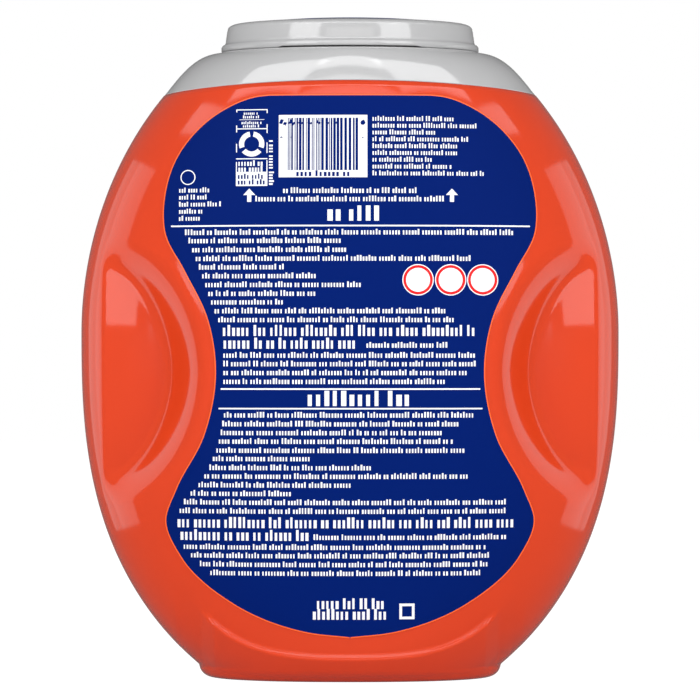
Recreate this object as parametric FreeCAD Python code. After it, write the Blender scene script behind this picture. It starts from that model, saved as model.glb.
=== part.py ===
"""Large tub for laundry pods: a blown shell with four finger grips, a collar that snaps over its neck,
and a flip-top lid.

The origin is at the middle of the foot, on the surface that the tub stands on. The width runs along X
and the depth along Y. The front, with the two latch buttons, faces +Y, and the lid's hinge is at -Y.
All sizes are in millimetres.
"""

import FreeCAD, Part
import math
import os

from FreeCAD import Vector

# Blown shell: outline seen from the front and from the side
BELLY_Z = 145.0
BELLY_HALF_WIDTH = 113.1
BELLY_HALF_DEPTH = 82.0
UPPER_WIDTH_REACH = 138.6
UPPER_WIDTH_POWERS = (1.944, 2.007)
LOWER_WIDTH_REACH = 166.3
LOWER_WIDTH_POWERS = (2.687, 1.714)
UPPER_DEPTH_REACH = 163.0
LOWER_DEPTH_REACH = 204.0
DEPTH_POWERS = (2.0, 2.0)
SECTION_POWER = 2.3
WALL = 1.3

# Foot ring, the crease above it and the pushed-up base
FOOT_HALF_WIDTH = 63.5
FOOT_HALF_DEPTH = 54.8
FOOT_EDGE_RADIUS = 5.3
FOOT_TOP = 20.0
FOOT_BLEND = 1.0
FOOT_TUCK = 1.5
CREASE_Z = 11.3
CREASE_RISE = 15.7
CREASE_RISE_AT = FOOT_HALF_WIDTH - 6.0
CREASE_SLOPE = 0.62
CREASE_END = FOOT_HALF_WIDTH + 8.5
CREASE_BLEND = 2.5
BASE_RING_WIDTH = 6.0
BASE_PUSH_UP = 4.0
BASE_DRAFT = 6.0

# Finger grips, four alike
GRIP_X = BELLY_HALF_WIDTH - 15.1
GRIP_Z = BELLY_Z - 16.6
GRIP_HALF_WIDTH = 34.3
GRIP_HALF_HEIGHT = 53.0
GRIP_END = 1.3
GRIP_FLOOR_HALF_WIDTH = 25.0
GRIP_FLOOR_HALF_HEIGHT = 43.0
GRIP_FLOOR_POWER = 1.7
GRIP_FLOOR_SLOPE = 0.68
GRIP_RIDGE_X = BELLY_HALF_WIDTH - 8.6
GRIP_RIDGE_BLEND = 1.6
GRIP_FLOOR_BLEND = 0.30
GRIP_RIM_BLEND = 0.50

# Shoulder ledge, deck and neck of the blown shell
LEDGE_Z = 248.1
LEDGE_FALL = 4.2
LEDGE_FALL_AT = 78.4
DECK_Z = LEDGE_Z + 1.0
DECK_CLEARANCE = 0.4
NECK_RADIUS = 49.5
NECK_WALL = 1.5
NECK_TOP = DECK_Z + 6.7
NECK_BEAD = 0.6
NECK_BEAD_Z = DECK_Z + 4.3
NECK_BEAD_HEIGHT = 2.2

# Collar, as wide and as deep at its lower edge as the shell there
COLLAR_TOP_Z = LEDGE_Z + 13.5
COLLAR_LOW_Z = LEDGE_Z - 5.1
COLLAR_TOP_RADIUS = NECK_RADIUS + 6.5
COLLAR_SIDE_POWERS = (0.85, 2.0)
COLLAR_FRONT_POWERS = (1.0, 1.5)
COLLAR_WALL = 1.8
COLLAR_SEAT_GAP = 0.1
RIM_RADIUS = NECK_RADIUS + 5.0
RIM_HEIGHT = 0.7
SPOUT_RADIUS = NECK_RADIUS - 3.3
SPOUT_WALL = 1.6
SPOUT_TOP = COLLAR_TOP_Z + 5.9
SLEEVE_GAP = 0.2
SLEEVE_WALL = 1.5
SLEEVE_FOOT_GAP = 0.3

# Lid
LID_GAP = 0.2
LID_FLANGE_RADIUS = RIM_RADIUS - 0.3
LID_FLANGE_TOP = COLLAR_TOP_Z + 3.7
LID_FLANGE_BEVEL = 0.4
LID_CONE_RADIUS = LID_FLANGE_RADIUS - 1.3
LID_SHOULDER_RADIUS = LID_CONE_RADIUS - 1.2
LID_SHOULDER_Z = LID_FLANGE_TOP + 6.3
LID_CROWN_RADIUS = LID_SHOULDER_RADIUS - 5.2
LID_CROWN_Z = LID_SHOULDER_Z + 2.7
LID_APEX_Z = LID_CROWN_Z + 2.5
LID_WALL = 1.7
LID_LABEL_RADIUS = LID_CROWN_RADIUS - 3.5
LID_LABEL_RECESS = 0.4
LIP_HALF_WIDTH = 15.0
LIP_REACH = 4.0
LIP_THICKNESS = 2.0
PLUG_GAP = 0.2
PLUG_WALL = 1.3
PLUG_BEAD_Z = SPOUT_TOP - 0.5
PLUG_TIP_Z = SPOUT_TOP - 2.0
PLUG_TAPER = 0.75
PLUG_NECK_IN = 0.2

# Hinge at the back of the lid
HINGE_Y = 0.2 - LID_FLANGE_RADIUS
HINGE_RELIEF = 0.5
HINGE_RELIEF_HALF_WIDTH = 30.0
HINGE_BEAD_RADIUS = 0.45
HINGE_BEAD_HALF_WIDTH = 8.0
HINGE_RUNNING_GAP = 0.07
HINGE_FILM = 0.4

# Latch buttons, two alike, each on its own radius at the front
LATCH_ANGLE = 26.0
LATCH_TRAVEL = 1.6
LATCH_WIDTH = 8.0
LATCH_HOOK_INNER = NECK_RADIUS - 1.3
LATCH_HOOK_THICKNESS = 1.2
LATCH_NOSE = 1.0
LATCH_NOSE_HEIGHT = 1.2
LATCH_STEM_THICKNESS = 1.8
LATCH_STEM_DROP = 1.0
LATCH_GAP = 0.3
BUTTON_WIDTH = 15.4
BUTTON_LOW_Z = COLLAR_TOP_Z - 9.3
BUTTON_HIGH_Z = COLLAR_TOP_Z - 2.9
BUTTON_WALL = 2.0
CATCH_OVERLAP = 0.7
CATCH_HEIGHT = 1.2

# Film labels. The hourglass's right edge runs from the top down: how far it lies in from the shell's
# widest place, and its height as a share of the label's.
LABEL_FILM = 0.3
LABEL_GAP = 0.05
LABEL_TOP_Z = LEDGE_Z - 6.1
LABEL_BOTTOM_Z = 19.0
LABEL_EDGE = (
    (80.1, 1.0),
    (75.1, 0.998),
    (61.1, 0.974),
    (49.6, 0.933),
    (41.6, 0.884),
    (36.9, 0.816),
    (37.1, 0.744),
    (45.1, 0.675),
    (54.6, 0.588),
    (58.0, 0.493),
    (53.1, 0.373),
    (41.6, 0.274),
    (37.2, 0.215),
    (43.4, 0.148),
    (65.3, 0.061),
    (95.1, 0.009),
)

# Fineness of the blown shell's grid of points, and how far a cutter or a fused root reaches past
QUADRANT_ANGLES = (
    [0.0, 4.5, 9.0, 13.5]
    + [18.0 + 2.3 * step for step in range(20)]
    + [66.5, 72.0, 78.0, 84.0]
)
TOP_LEVEL = LEDGE_Z + 4.0
GRIP_LEVELS = [GRIP_Z + 3.6 * step for step in range(-15, 16)]
TOP_LEVELS = [TOP_LEVEL - (TOP_LEVEL - GRIP_LEVELS[-1]) * step / 10 for step in range(9, -1, -1)]
FOOT_LEVELS = [6.3, 8.0, 10.0, 12.5, 15.5, 19.0, 24.0, 30.0, 37.0, 45.0, 54.0, 62.0, 69.0]
SIDE_LEVELS = FOOT_LEVELS + GRIP_LEVELS + TOP_LEVELS
FOOT_EDGE_ANGLES = (0.0, 18.0, 36.0, 54.0, 72.0, 90.0)
DOME_ROWS = 12
DOME_EASE = 1.8
DOME_STEP_ANGLE = 7.5
REACH = 10.0
ROOT = 0.5

rim_top = COLLAR_TOP_Z + RIM_HEIGHT
plate_under = COLLAR_TOP_Z - COLLAR_WALL
lid_bottom = rim_top + LID_GAP
hinge_z = lid_bottom + HINGE_RELIEF
spout_inner = SPOUT_RADIUS - SPOUT_WALL
neck_inner = NECK_RADIUS - NECK_WALL
sleeve_inner = NECK_RADIUS + SLEEVE_GAP
sleeve_outer = sleeve_inner + SLEEVE_WALL
skirt_inner = LID_FLANGE_RADIUS - LID_WALL
latch_directions = {"left": 90.0 + LATCH_ANGLE, "right": 90.0 - LATCH_ANGLE}


def smooth_max(a, b, blend):
    """The larger of two values, rounded where they cross."""
    near = max(blend - abs(a - b), 0.0) / max(blend, 1e-9)
    return max(a, b) + near * near * blend / 4


def profile(share, powers):
    """Falls from 1 to 0 as share goes from 0 to 1, along a rounded curve with two powers."""
    return max(1 - share ** powers[0], 0.0) ** (1 / powers[1])


def belly_half_width(z):
    """Half-width of the blown shell at one height."""
    if z >= BELLY_Z:
        return BELLY_HALF_WIDTH * profile((z - BELLY_Z) / UPPER_WIDTH_REACH, UPPER_WIDTH_POWERS)
    return BELLY_HALF_WIDTH * profile((BELLY_Z - z) / LOWER_WIDTH_REACH, LOWER_WIDTH_POWERS)


def belly_half_depth(z):
    """Half-depth of the blown shell at one height."""
    reach = UPPER_DEPTH_REACH if z >= BELLY_Z else LOWER_DEPTH_REACH
    return BELLY_HALF_DEPTH * profile(abs(z - BELLY_Z) / reach, DEPTH_POWERS)


def belly_depth_at(x, z):
    """Distance of the plain belly from the middle plane, at one place across and one height."""
    share = min(x / belly_half_width(z), 1.0)
    return belly_half_depth(z) * (1 - share ** SECTION_POWER) ** (1 / SECTION_POWER)


def grip_depth(x, z):
    """How far a finger grip lies below the plain belly: a sloping floor inside a rounded wall."""
    across = abs(x - GRIP_X)
    along = abs(z - GRIP_Z)
    rim = math.hypot(across / GRIP_HALF_WIDTH, along / GRIP_HALF_HEIGHT)
    if rim > GRIP_END:
        return 0.0
    power = GRIP_FLOOR_POWER
    floor_share = (across / GRIP_FLOOR_HALF_WIDTH) ** power + (along / GRIP_FLOOR_HALF_HEIGHT) ** power
    floor_share = max(floor_share ** (1 / power), 0.01)
    up_the_wall = (floor_share - 1) / (floor_share / max(rim, 0.001) - 1)
    rounded = smooth_max(up_the_wall, 0.0, GRIP_FLOOR_BLEND)
    rounded = -smooth_max(-rounded, -1.0, GRIP_RIM_BLEND)
    floor = belly_depth_at(GRIP_RIDGE_X, z) + GRIP_FLOOR_SLOPE * (GRIP_RIDGE_X - x)
    below = smooth_max(belly_depth_at(x, z) - floor, 0.0, GRIP_RIDGE_BLEND)
    return max(below * (1 - rounded), 0.0)


def crease_depth(x, z):
    """How far the lower front tucks in below the curved crease under the label."""
    crease = CREASE_Z + CREASE_RISE * (x / CREASE_RISE_AT) ** 2
    slope = CREASE_SLOPE * max(1 - (x / CREASE_END) ** 2, 0.0)
    return slope * smooth_max(crease - z, 0.0, CREASE_BLEND)


def quarter(angle, power):
    """Cosine and sine of an angle, bent to the shape of a squared oval."""
    cosine = math.cos(math.radians(angle))
    sine = math.sin(math.radians(angle))
    bend = 2 / power
    return (
        math.copysign(abs(cosine) ** bend, round(cosine, 9)),
        math.copysign(abs(sine) ** bend, round(sine, 9)),
    )


def all_round(quadrant):
    """The angles of one quadrant, mirrored into a full turn."""
    turn = list(quadrant) + [90.0] + [180.0 - angle for angle in reversed(quadrant[1:])]
    return turn + [180.0 + angle for angle in turn]


def tub_row(z):
    """One closed row of points round the blown shell. Below FOOT_TOP the foot's oval blends in."""
    up = max(FOOT_EDGE_RADIUS - z, 0.0)
    foot_in = FOOT_EDGE_RADIUS - math.sqrt(FOOT_EDGE_RADIUS**2 - up**2)
    body_in = FOOT_TUCK * foot_in
    fade = max((FOOT_TOP - z) / FOOT_TOP, 0.0)
    half_width = belly_half_width(z) - body_in
    if fade > 0:
        half_width = smooth_max(half_width, FOOT_HALF_WIDTH - foot_in, FOOT_BLEND * fade)
    row = []
    for angle in all_round(QUADRANT_ANGLES):
        across, along = quarter(angle, SECTION_POWER)
        x = abs(across) * half_width
        y = belly_half_depth(z) * abs(along) - crease_depth(x, z) - grip_depth(x, z) - body_in
        if fade > 0:
            foot_y = (FOOT_HALF_DEPTH - foot_in) * abs(along)
            y = smooth_max(y, foot_y, FOOT_BLEND * fade * abs(along))
        row.append(Vector(math.copysign(x, across), math.copysign(y, along), z))
    return row


def tub_grid(lowest=0.0):
    """Rows of points from the foot's flat ring up to under the collar, from one height up."""
    edge = [FOOT_EDGE_RADIUS * (1 - math.cos(math.radians(angle))) for angle in FOOT_EDGE_ANGLES]
    return [tub_row(z) for z in edge + SIDE_LEVELS if z >= lowest]


def inset_grid(grid, inset, flat_below=False, flat_above=False):
    """The same rows moved inwards, square to the surface. The end rows stay level."""
    moved = []
    for level, row in enumerate(grid):
        below = grid[max(level - 1, 0)]
        above = grid[min(level + 1, len(grid) - 1)]
        ends = level in (0, len(grid) - 1)
        flat = (flat_below and level == 0) or (flat_above and level == len(grid) - 1)
        new_row = []
        for index, point in enumerate(row):
            along = row[(index + 1) % len(row)] - row[index - 1]
            outward = along.cross(above[index] - below[index]).normalize()
            if flat:
                outward = Vector(0, 0, -1 if level == 0 else 1)
            elif ends:
                outward = Vector(outward.x, outward.y, 0)
                outward = outward / outward.Length**2
            new_row.append(point - outward * inset)
        moved.append(new_row)
    return moved


def closed_solid(grid):
    """A solid whose side passes smoothly through rows of points, closed by two flat ends."""
    girth = grid[len(grid) // 2]
    around = [0.0]
    for here, there in zip(girth, girth[1:] + girth[:1]):
        around.append(around[-1] + here.distanceToPoint(there))
    up = [0.0]
    for below, above in zip(grid, grid[1:]):
        up.append(up[-1] + below[0].distanceToPoint(above[0]))
    rings = []
    for row in grid:
        ring = Part.BSplineCurve()
        ring.interpolate(Points=row, PeriodicFlag=True, Parameters=around)
        rings.append(ring)
    columns = []
    for index in range(1, rings[0].NbPoles + 1):
        column = Part.BSplineCurve()
        column.interpolate(Points=[ring.getPole(index) for ring in rings], Parameters=up)
        columns.append(column)
    side = Part.BSplineSurface()
    side.buildFromPolesMultsKnots(
        [column.getPoles() for column in columns],
        rings[0].getMultiplicities(),
        columns[0].getMultiplicities(),
        rings[0].getKnots(),
        columns[0].getKnots(),
        True,
        False,
        3,
        3,
    )
    ends = [Part.Face(Part.Wire(side.vIso(level).toShape())) for level in (up[0], up[-1])]
    shell = Part.Shell([side.toShape()] + ends)
    shell.sewShape()
    solid = Part.Solid(shell)
    if solid.Volume < 0:
        solid.reverse()
    return solid


def turned(points):
    """A solid of revolution about Z, from corner points given as radius and height."""
    corners = [Vector(radius, 0, z) for radius, z in points]
    face = Part.Face(Part.makePolygon(corners + corners[:1]))
    return face.revolve(Vector(0, 0, 0), Vector(0, 0, 1), 360)


def tube(outer, inner, low, high):
    """A plain ring between two heights."""
    return turned([(inner, low), (outer, low), (outer, high), (inner, high)])


def block(x_range, y_range, z_range):
    """A box between two places on each axis."""
    size = [high - low for low, high in (x_range, y_range, z_range)]
    return Part.makeBox(*size, Vector(x_range[0], y_range[0], z_range[0]))


def below_ledge(drop):
    """The space under the curved edge where the collar meets the shell, as wide as the tub."""
    reach = BELLY_HALF_WIDTH + REACH
    depth = BELLY_HALF_DEPTH + REACH
    radius = (LEDGE_FALL_AT**2 + LEDGE_FALL**2) / (2 * LEDGE_FALL)
    side_z = LEDGE_Z - drop - (radius - math.sqrt(radius**2 - reach**2))
    top = Part.Arc(
        Vector(-reach, -depth, side_z),
        Vector(0, -depth, LEDGE_Z - drop),
        Vector(reach, -depth, side_z),
    ).toShape()
    lower = Part.makePolygon(
        [
            Vector(reach, -depth, side_z),
            Vector(reach, -depth, -REACH),
            Vector(-reach, -depth, -REACH),
            Vector(-reach, -depth, side_z),
        ]
    )
    return Part.Face(Part.Wire([top] + lower.Edges)).extrude(Vector(0, 2 * depth, 0))


def shell_form(inset):
    """The blown shell's solid form, or the space inside it when inset by the wall. Its deck fits
    inside the collar's dome."""
    body = closed_solid(inset_grid(tub_grid(), inset, flat_below=True))
    body = body.common(below_ledge(COLLAR_SEAT_GAP + inset))
    deck_rows = collar_grid()
    deck_rows.insert(0, [point - Vector(0, 0, REACH) for point in deck_rows[0]])
    deck = closed_solid(inset_grid(deck_rows, COLLAR_WALL + DECK_CLEARANCE + inset, flat_above=True))
    reach = BELLY_HALF_WIDTH + REACH
    deck = deck.common(block((-reach, reach), (-reach, reach), (0, DECK_Z - inset)))
    return body.fuse(deck)


def push_up(grow):
    """The oval space pushed up into the base, grown by the wall for the inside of the shell."""
    ovals = []
    ring = FOOT_EDGE_RADIUS + BASE_RING_WIDTH - grow
    for draft, z in ((0.0, -REACH), (0.0, 0.0), (BASE_DRAFT, BASE_PUSH_UP)):
        half_width = FOOT_HALF_WIDTH - ring - draft
        half_depth = FOOT_HALF_DEPTH - ring - draft
        lift = grow if z > 0 else 0.0
        oval = Part.Ellipse(Vector(0, 0, z + lift), half_width, half_depth)
        ovals.append(Part.Wire(oval.toShape()))
    lower = Part.makeLoft(ovals[:2], True, True)
    upper = Part.makeLoft(ovals[1:], True, True)
    return lower.fuse(upper)


def make_tub_body():
    """Blown shell: one skin of even wall, with its grips, foot, ledge, deck and neck."""
    outer = shell_form(0.0).cut(push_up(0.0))
    inner = shell_form(WALL).cut(push_up(WALL))
    half_bead = NECK_BEAD_HEIGHT / 2
    neck = turned(
        [
            (neck_inner, DECK_Z - WALL),
            (NECK_RADIUS, DECK_Z - WALL),
            (NECK_RADIUS, NECK_BEAD_Z - half_bead),
            (NECK_RADIUS + NECK_BEAD, NECK_BEAD_Z - half_bead / 2),
            (NECK_RADIUS + NECK_BEAD, NECK_BEAD_Z),
            (NECK_RADIUS, NECK_BEAD_Z + half_bead),
            (NECK_RADIUS, NECK_TOP),
            (neck_inner, NECK_TOP),
        ]
    )
    mouth = Part.makeCylinder(neck_inner, NECK_TOP - DECK_Z + REACH, Vector(0, 0, DECK_Z - REACH))
    return outer.cut(inner).fuse(neck).cut(mouth).removeSplitter()


def collar_grid():
    """Rows of points up the collar's dome, from under its lower edge to its flat top."""
    rows = []
    for step in range(DOME_ROWS + 1):
        share = 1 - (1 - step / DOME_ROWS) ** DOME_EASE
        z = COLLAR_LOW_Z + share * (COLLAR_TOP_Z - COLLAR_LOW_Z)
        spread = belly_half_width(COLLAR_LOW_Z) - COLLAR_TOP_RADIUS
        half_width = COLLAR_TOP_RADIUS + spread * profile(share, COLLAR_SIDE_POWERS)
        spread = belly_half_depth(COLLAR_LOW_Z) - COLLAR_TOP_RADIUS
        half_depth = COLLAR_TOP_RADIUS + spread * profile(share, COLLAR_FRONT_POWERS)
        power = SECTION_POWER + (2 - SECTION_POWER) * share**3
        row = []
        for angle in all_round([DOME_STEP_ANGLE * part for part in range(round(90 / DOME_STEP_ANGLE))]):
            across, along = quarter(angle, power)
            row.append(Vector(half_width * across, half_depth * along, z))
        rows.append(row)
    return rows


def dome(inset):
    """The collar's domed form, or the space inside it when inset by the wall."""
    return closed_solid(inset_grid(collar_grid(), inset, flat_above=True))


def facing(shape, direction):
    """A shape made facing +X, turned to face another direction about Z."""
    placed = shape.copy()
    placed.rotate(Vector(0, 0, 0), Vector(0, 0, 1), direction)
    return placed


def slot(width, near, far, low, high):
    """A box that faces +X, centred on the X axis."""
    return block((near, far), (-width / 2, width / 2), (low, high))


def make_collar():
    """Collar: domed skirt, top plate, spout ring, sleeve that snaps over the neck, and hinge bead."""
    skirt = dome(0.0).cut(dome(COLLAR_WALL)).cut(below_ledge(0.0))
    mouth = Part.makeCylinder(spout_inner, 2 * REACH, Vector(0, 0, COLLAR_TOP_Z - REACH))
    rim = tube(RIM_RADIUS, spout_inner, plate_under, rim_top)
    spout = tube(SPOUT_RADIUS, spout_inner, plate_under, SPOUT_TOP)
    half_groove = NECK_BEAD_HEIGHT / 2 + SLEEVE_GAP
    groove = sleeve_inner + NECK_BEAD
    sleeve = turned(
        [
            (sleeve_inner, DECK_Z + SLEEVE_FOOT_GAP),
            (sleeve_outer, DECK_Z + SLEEVE_FOOT_GAP),
            (sleeve_outer, plate_under + ROOT),
            (sleeve_inner, plate_under + ROOT),
            (sleeve_inner, NECK_BEAD_Z + half_groove),
            (groove, NECK_BEAD_Z + SLEEVE_GAP),
            (groove, NECK_BEAD_Z - half_groove / 2),
            (sleeve_inner, NECK_BEAD_Z - half_groove),
        ]
    )
    collar = skirt.cut(mouth).fuse([rim, spout, sleeve])
    hook_outer = LATCH_HOOK_INNER + LATCH_HOOK_THICKNESS
    hook_slot = slot(
        LATCH_WIDTH + 2 * LATCH_GAP,
        LATCH_HOOK_INNER - LATCH_TRAVEL - LATCH_GAP,
        hook_outer + LATCH_GAP,
        plate_under - ROOT,
        rim_top + ROOT,
    )
    window = slot(
        LATCH_WIDTH + 2 * LATCH_GAP,
        sleeve_inner - ROOT,
        sleeve_outer + ROOT,
        NECK_TOP + SLEEVE_GAP,
        plate_under,
    )
    button_slot = slot(
        BUTTON_WIDTH + 2 * LATCH_GAP,
        sleeve_outer + BUTTON_WALL,
        BELLY_HALF_WIDTH,
        BUTTON_LOW_Z - LATCH_GAP,
        BUTTON_HIGH_Z + LATCH_GAP,
    )
    for direction in latch_directions.values():
        for cutter in (hook_slot, window, button_slot):
            collar = collar.cut(facing(cutter, direction))
    bead = Part.makeCylinder(
        HINGE_BEAD_RADIUS,
        2 * HINGE_BEAD_HALF_WIDTH,
        Vector(-HINGE_BEAD_HALF_WIDTH, HINGE_Y, hinge_z),
        Vector(1, 0, 0),
    )
    film = block(
        (-HINGE_BEAD_HALF_WIDTH, HINGE_BEAD_HALF_WIDTH),
        (HINGE_Y - HINGE_FILM / 2, HINGE_Y + HINGE_FILM / 2),
        (rim_top - ROOT, hinge_z),
    )
    return collar.fuse([bead, film]).removeSplitter()


def bend_points(outer_radius, low, inner_radius, high, count):
    """Points inside a quarter of an ellipse that bends from upright to level."""
    points = []
    for step in range(1, count):
        turn = math.pi / 2 * step / count
        radius = inner_radius + (outer_radius - inner_radius) * math.cos(turn)
        points.append((radius, low + (high - low) * math.sin(turn)))
    return points


def make_lid():
    """Flip-top: skirt and flange, cone, crown with a label panel, plug ring, lip and two catches."""
    outer = turned(
        [
            (0, lid_bottom),
            (LID_FLANGE_RADIUS, lid_bottom),
            (LID_FLANGE_RADIUS, LID_FLANGE_TOP),
            (LID_CONE_RADIUS, LID_FLANGE_TOP + LID_FLANGE_BEVEL),
            (LID_SHOULDER_RADIUS, LID_SHOULDER_Z),
            *bend_points(LID_SHOULDER_RADIUS, LID_SHOULDER_Z, LID_CROWN_RADIUS, LID_CROWN_Z, 4),
            (LID_CROWN_RADIUS, LID_CROWN_Z),
            (0, LID_CROWN_Z),
        ]
    )
    crown = crown_slice(LID_CROWN_RADIUS, LID_CROWN_Z - ROOT, 0.0)
    panel = crown_slice(LID_LABEL_RADIUS + LID_LABEL_RECESS, LID_CROWN_Z - ROOT, 0.0)
    panel = panel.cut(crown_slice(LID_CROWN_RADIUS, LID_CROWN_Z - 2 * ROOT, LID_LABEL_RECESS))
    hollow = turned(
        [
            (0, lid_bottom - ROOT),
            (skirt_inner, lid_bottom - ROOT),
            (skirt_inner, LID_FLANGE_TOP - LID_FLANGE_BEVEL),
            (LID_CONE_RADIUS - LID_WALL, LID_FLANGE_TOP),
            (LID_SHOULDER_RADIUS - LID_WALL, LID_SHOULDER_Z),
            (LID_CROWN_RADIUS + LID_WALL, LID_CROWN_Z - LID_WALL),
            (0, LID_CROWN_Z - LID_WALL),
        ]
    )
    bead_radius = spout_inner - PLUG_GAP
    plug_top = LID_CROWN_Z - LID_WALL / 2
    plug = turned(
        [
            (bead_radius - PLUG_TAPER, PLUG_TIP_Z),
            (bead_radius, PLUG_BEAD_Z),
            (bead_radius - PLUG_NECK_IN, PLUG_BEAD_Z + PLUG_TAPER),
            (bead_radius - PLUG_NECK_IN, plug_top),
            (bead_radius - PLUG_WALL, plug_top),
            (bead_radius - PLUG_WALL, PLUG_TIP_Z),
        ]
    )
    lid = outer.fuse(crown).cut(panel).cut(hollow).fuse(plug)
    lip_low = LID_FLANGE_TOP - LIP_THICKNESS
    lip_radius = LID_FLANGE_RADIUS + LIP_REACH
    lip = tube(lip_radius, LID_FLANGE_RADIUS - ROOT, lip_low, LID_FLANGE_TOP)
    lip = lip.common(block((-LIP_HALF_WIDTH, LIP_HALF_WIDTH), (0, lip_radius), (lip_low, LID_FLANGE_TOP)))
    lid = lid.fuse(lip)
    nose_tip = LATCH_HOOK_INNER + LATCH_HOOK_THICKNESS + LATCH_NOSE
    catch_low = rim_top + LATCH_GAP + LATCH_NOSE_HEIGHT + LATCH_GAP
    catch_inner = nose_tip - CATCH_OVERLAP
    catch = slot(LATCH_WIDTH, catch_inner, skirt_inner + ROOT, catch_low, catch_low + CATCH_HEIGHT)
    for direction in latch_directions.values():
        lid = lid.fuse(facing(catch, direction))
    relief = block(
        (-HINGE_RELIEF_HALF_WIDTH, HINGE_RELIEF_HALF_WIDTH),
        (-LID_FLANGE_RADIUS - REACH, -HINGE_RELIEF_HALF_WIDTH),
        (lid_bottom - REACH, hinge_z),
    )
    bead_gap = HINGE_BEAD_RADIUS + HINGE_RUNNING_GAP
    groove = Part.makeCylinder(
        bead_gap,
        2 * (HINGE_BEAD_HALF_WIDTH + ROOT),
        Vector(-HINGE_BEAD_HALF_WIDTH - ROOT, HINGE_Y, hinge_z),
        Vector(1, 0, 0),
    )
    return lid.cut(relief).cut(groove).removeSplitter()


def crown_slice(radius, low, drop):
    """The space between a level and the lid's crown, a shallow ball cap lowered by drop."""
    rise = LID_APEX_Z - LID_CROWN_Z
    ball = (LID_CROWN_RADIUS**2 + rise**2) / (2 * rise)
    centre_z = LID_APEX_Z - ball
    edge_z = centre_z + math.sqrt(ball**2 - radius**2) - drop
    middle_z = centre_z + math.sqrt(ball**2 - (radius / 2) ** 2) - drop
    apex_z = LID_APEX_Z - drop
    apex = Vector(0, 0, apex_z)
    top = Part.Arc(apex, Vector(radius / 2, 0, middle_z), Vector(radius, 0, edge_z)).toShape()
    sides = Part.makePolygon(
        [Vector(radius, 0, edge_z), Vector(radius, 0, low), Vector(0, 0, low), apex]
    )
    face = Part.Face(Part.Wire([top] + sides.Edges))
    return face.revolve(Vector(0, 0, 0), Vector(0, 0, 1), 360)


def make_lid_label():
    """Round film label that lies in the crown's panel."""
    lower = LID_LABEL_RECESS - LABEL_GAP
    upper = lower - LABEL_FILM
    film = crown_slice(LID_LABEL_RADIUS, LID_CROWN_Z - ROOT, upper)
    return film.cut(crown_slice(LID_LABEL_RADIUS + ROOT, LID_CROWN_Z - 2 * ROOT, lower))


def make_latch_button(direction):
    """Push button flush in the collar's dome, with a stem over the neck and a hook under the catch."""
    hook_outer = LATCH_HOOK_INNER + LATCH_HOOK_THICKNESS
    plate = slot(BUTTON_WIDTH, sleeve_outer, BELLY_HALF_WIDTH, BUTTON_LOW_Z, BUTTON_HIGH_Z)
    plate = facing(plate, direction).common(dome(0.0)).cut(dome(BUTTON_WALL))
    stem_top = plate_under - LATCH_GAP - LATCH_STEM_DROP
    stem_low = stem_top - LATCH_STEM_THICKNESS
    stem = slot(LATCH_WIDTH, LATCH_HOOK_INNER, COLLAR_TOP_RADIUS + REACH, stem_low, stem_top)
    stem = facing(stem, direction).common(dome(BUTTON_WALL - ROOT))
    nose_low = rim_top + LATCH_GAP
    nose_high = nose_low + LATCH_NOSE_HEIGHT
    hook = slot(LATCH_WIDTH, LATCH_HOOK_INNER, hook_outer, stem_low, nose_high)
    nose = slot(LATCH_WIDTH, hook_outer - ROOT, hook_outer + LATCH_NOSE, nose_low, nose_high)
    return plate.fuse([stem, facing(hook, direction), facing(nose, direction)]).removeSplitter()


def make_label():
    """Hourglass film label on the front of the shell."""
    height = LABEL_TOP_Z - LABEL_BOTTOM_Z
    edge = [(BELLY_HALF_WIDTH - inset, LABEL_BOTTOM_Z + height * up) for inset, up in LABEL_EDGE]
    places = edge + [(0.0, LABEL_BOTTOM_Z)] + [(-x, z) for x, z in reversed(edge)]
    corners = [Vector(x, 0, z) for x, z in places]
    curve = Part.BSplineCurve()
    curve.interpolate(Points=corners)
    top = Part.makeLine(corners[-1], corners[0])
    outline = Part.Face(Part.Wire([curve.toShape(), top]))
    prism = outline.extrude(Vector(0, BELLY_HALF_DEPTH + REACH, 0))
    film_grid = inset_grid(tub_grid(lowest=FOOT_LEVELS[2]), -(LABEL_GAP + LABEL_FILM))
    film = closed_solid(film_grid).common(prism)
    return film.cut(closed_solid(inset_grid(tub_grid(lowest=FOOT_LEVELS[0]), -LABEL_GAP)))


def main():
    """Makes each piece and writes it as its own file."""
    label = make_label()
    pieces = {
        "tub_body": make_tub_body(),
        "collar": make_collar(),
        "lid": make_lid(),
        "lid_label": make_lid_label(),
        "latch_button_left": make_latch_button(latch_directions["left"]),
        "latch_button_right": make_latch_button(latch_directions["right"]),
        "back_label": label.mirror(Vector(0, 0, 0), Vector(0, 1, 0)),
        "front_label": label,
    }
    os.makedirs("parts", exist_ok=True)
    for name, shape in pieces.items():
        box = shape.BoundBox
        print(name, "solids", len(shape.Solids), "valid", shape.isValid(), "volume", round(shape.Volume, 1))
        print("   z", round(box.ZMin, 2), round(box.ZMax, 2), "y", round(box.YMin, 2), round(box.YMax, 2))
        shape.exportStep("parts/" + name + ".step")


main()
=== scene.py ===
"""A large tub for laundry pods, seen from the back: orange blown shell, grey collar and flip-top lid,
dark blue hourglass labels. Lengths are in metres, +Z is up and the front of the tub faces +Y."""

import math

import bpy
import numpy as np
from mathutils import Matrix


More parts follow.
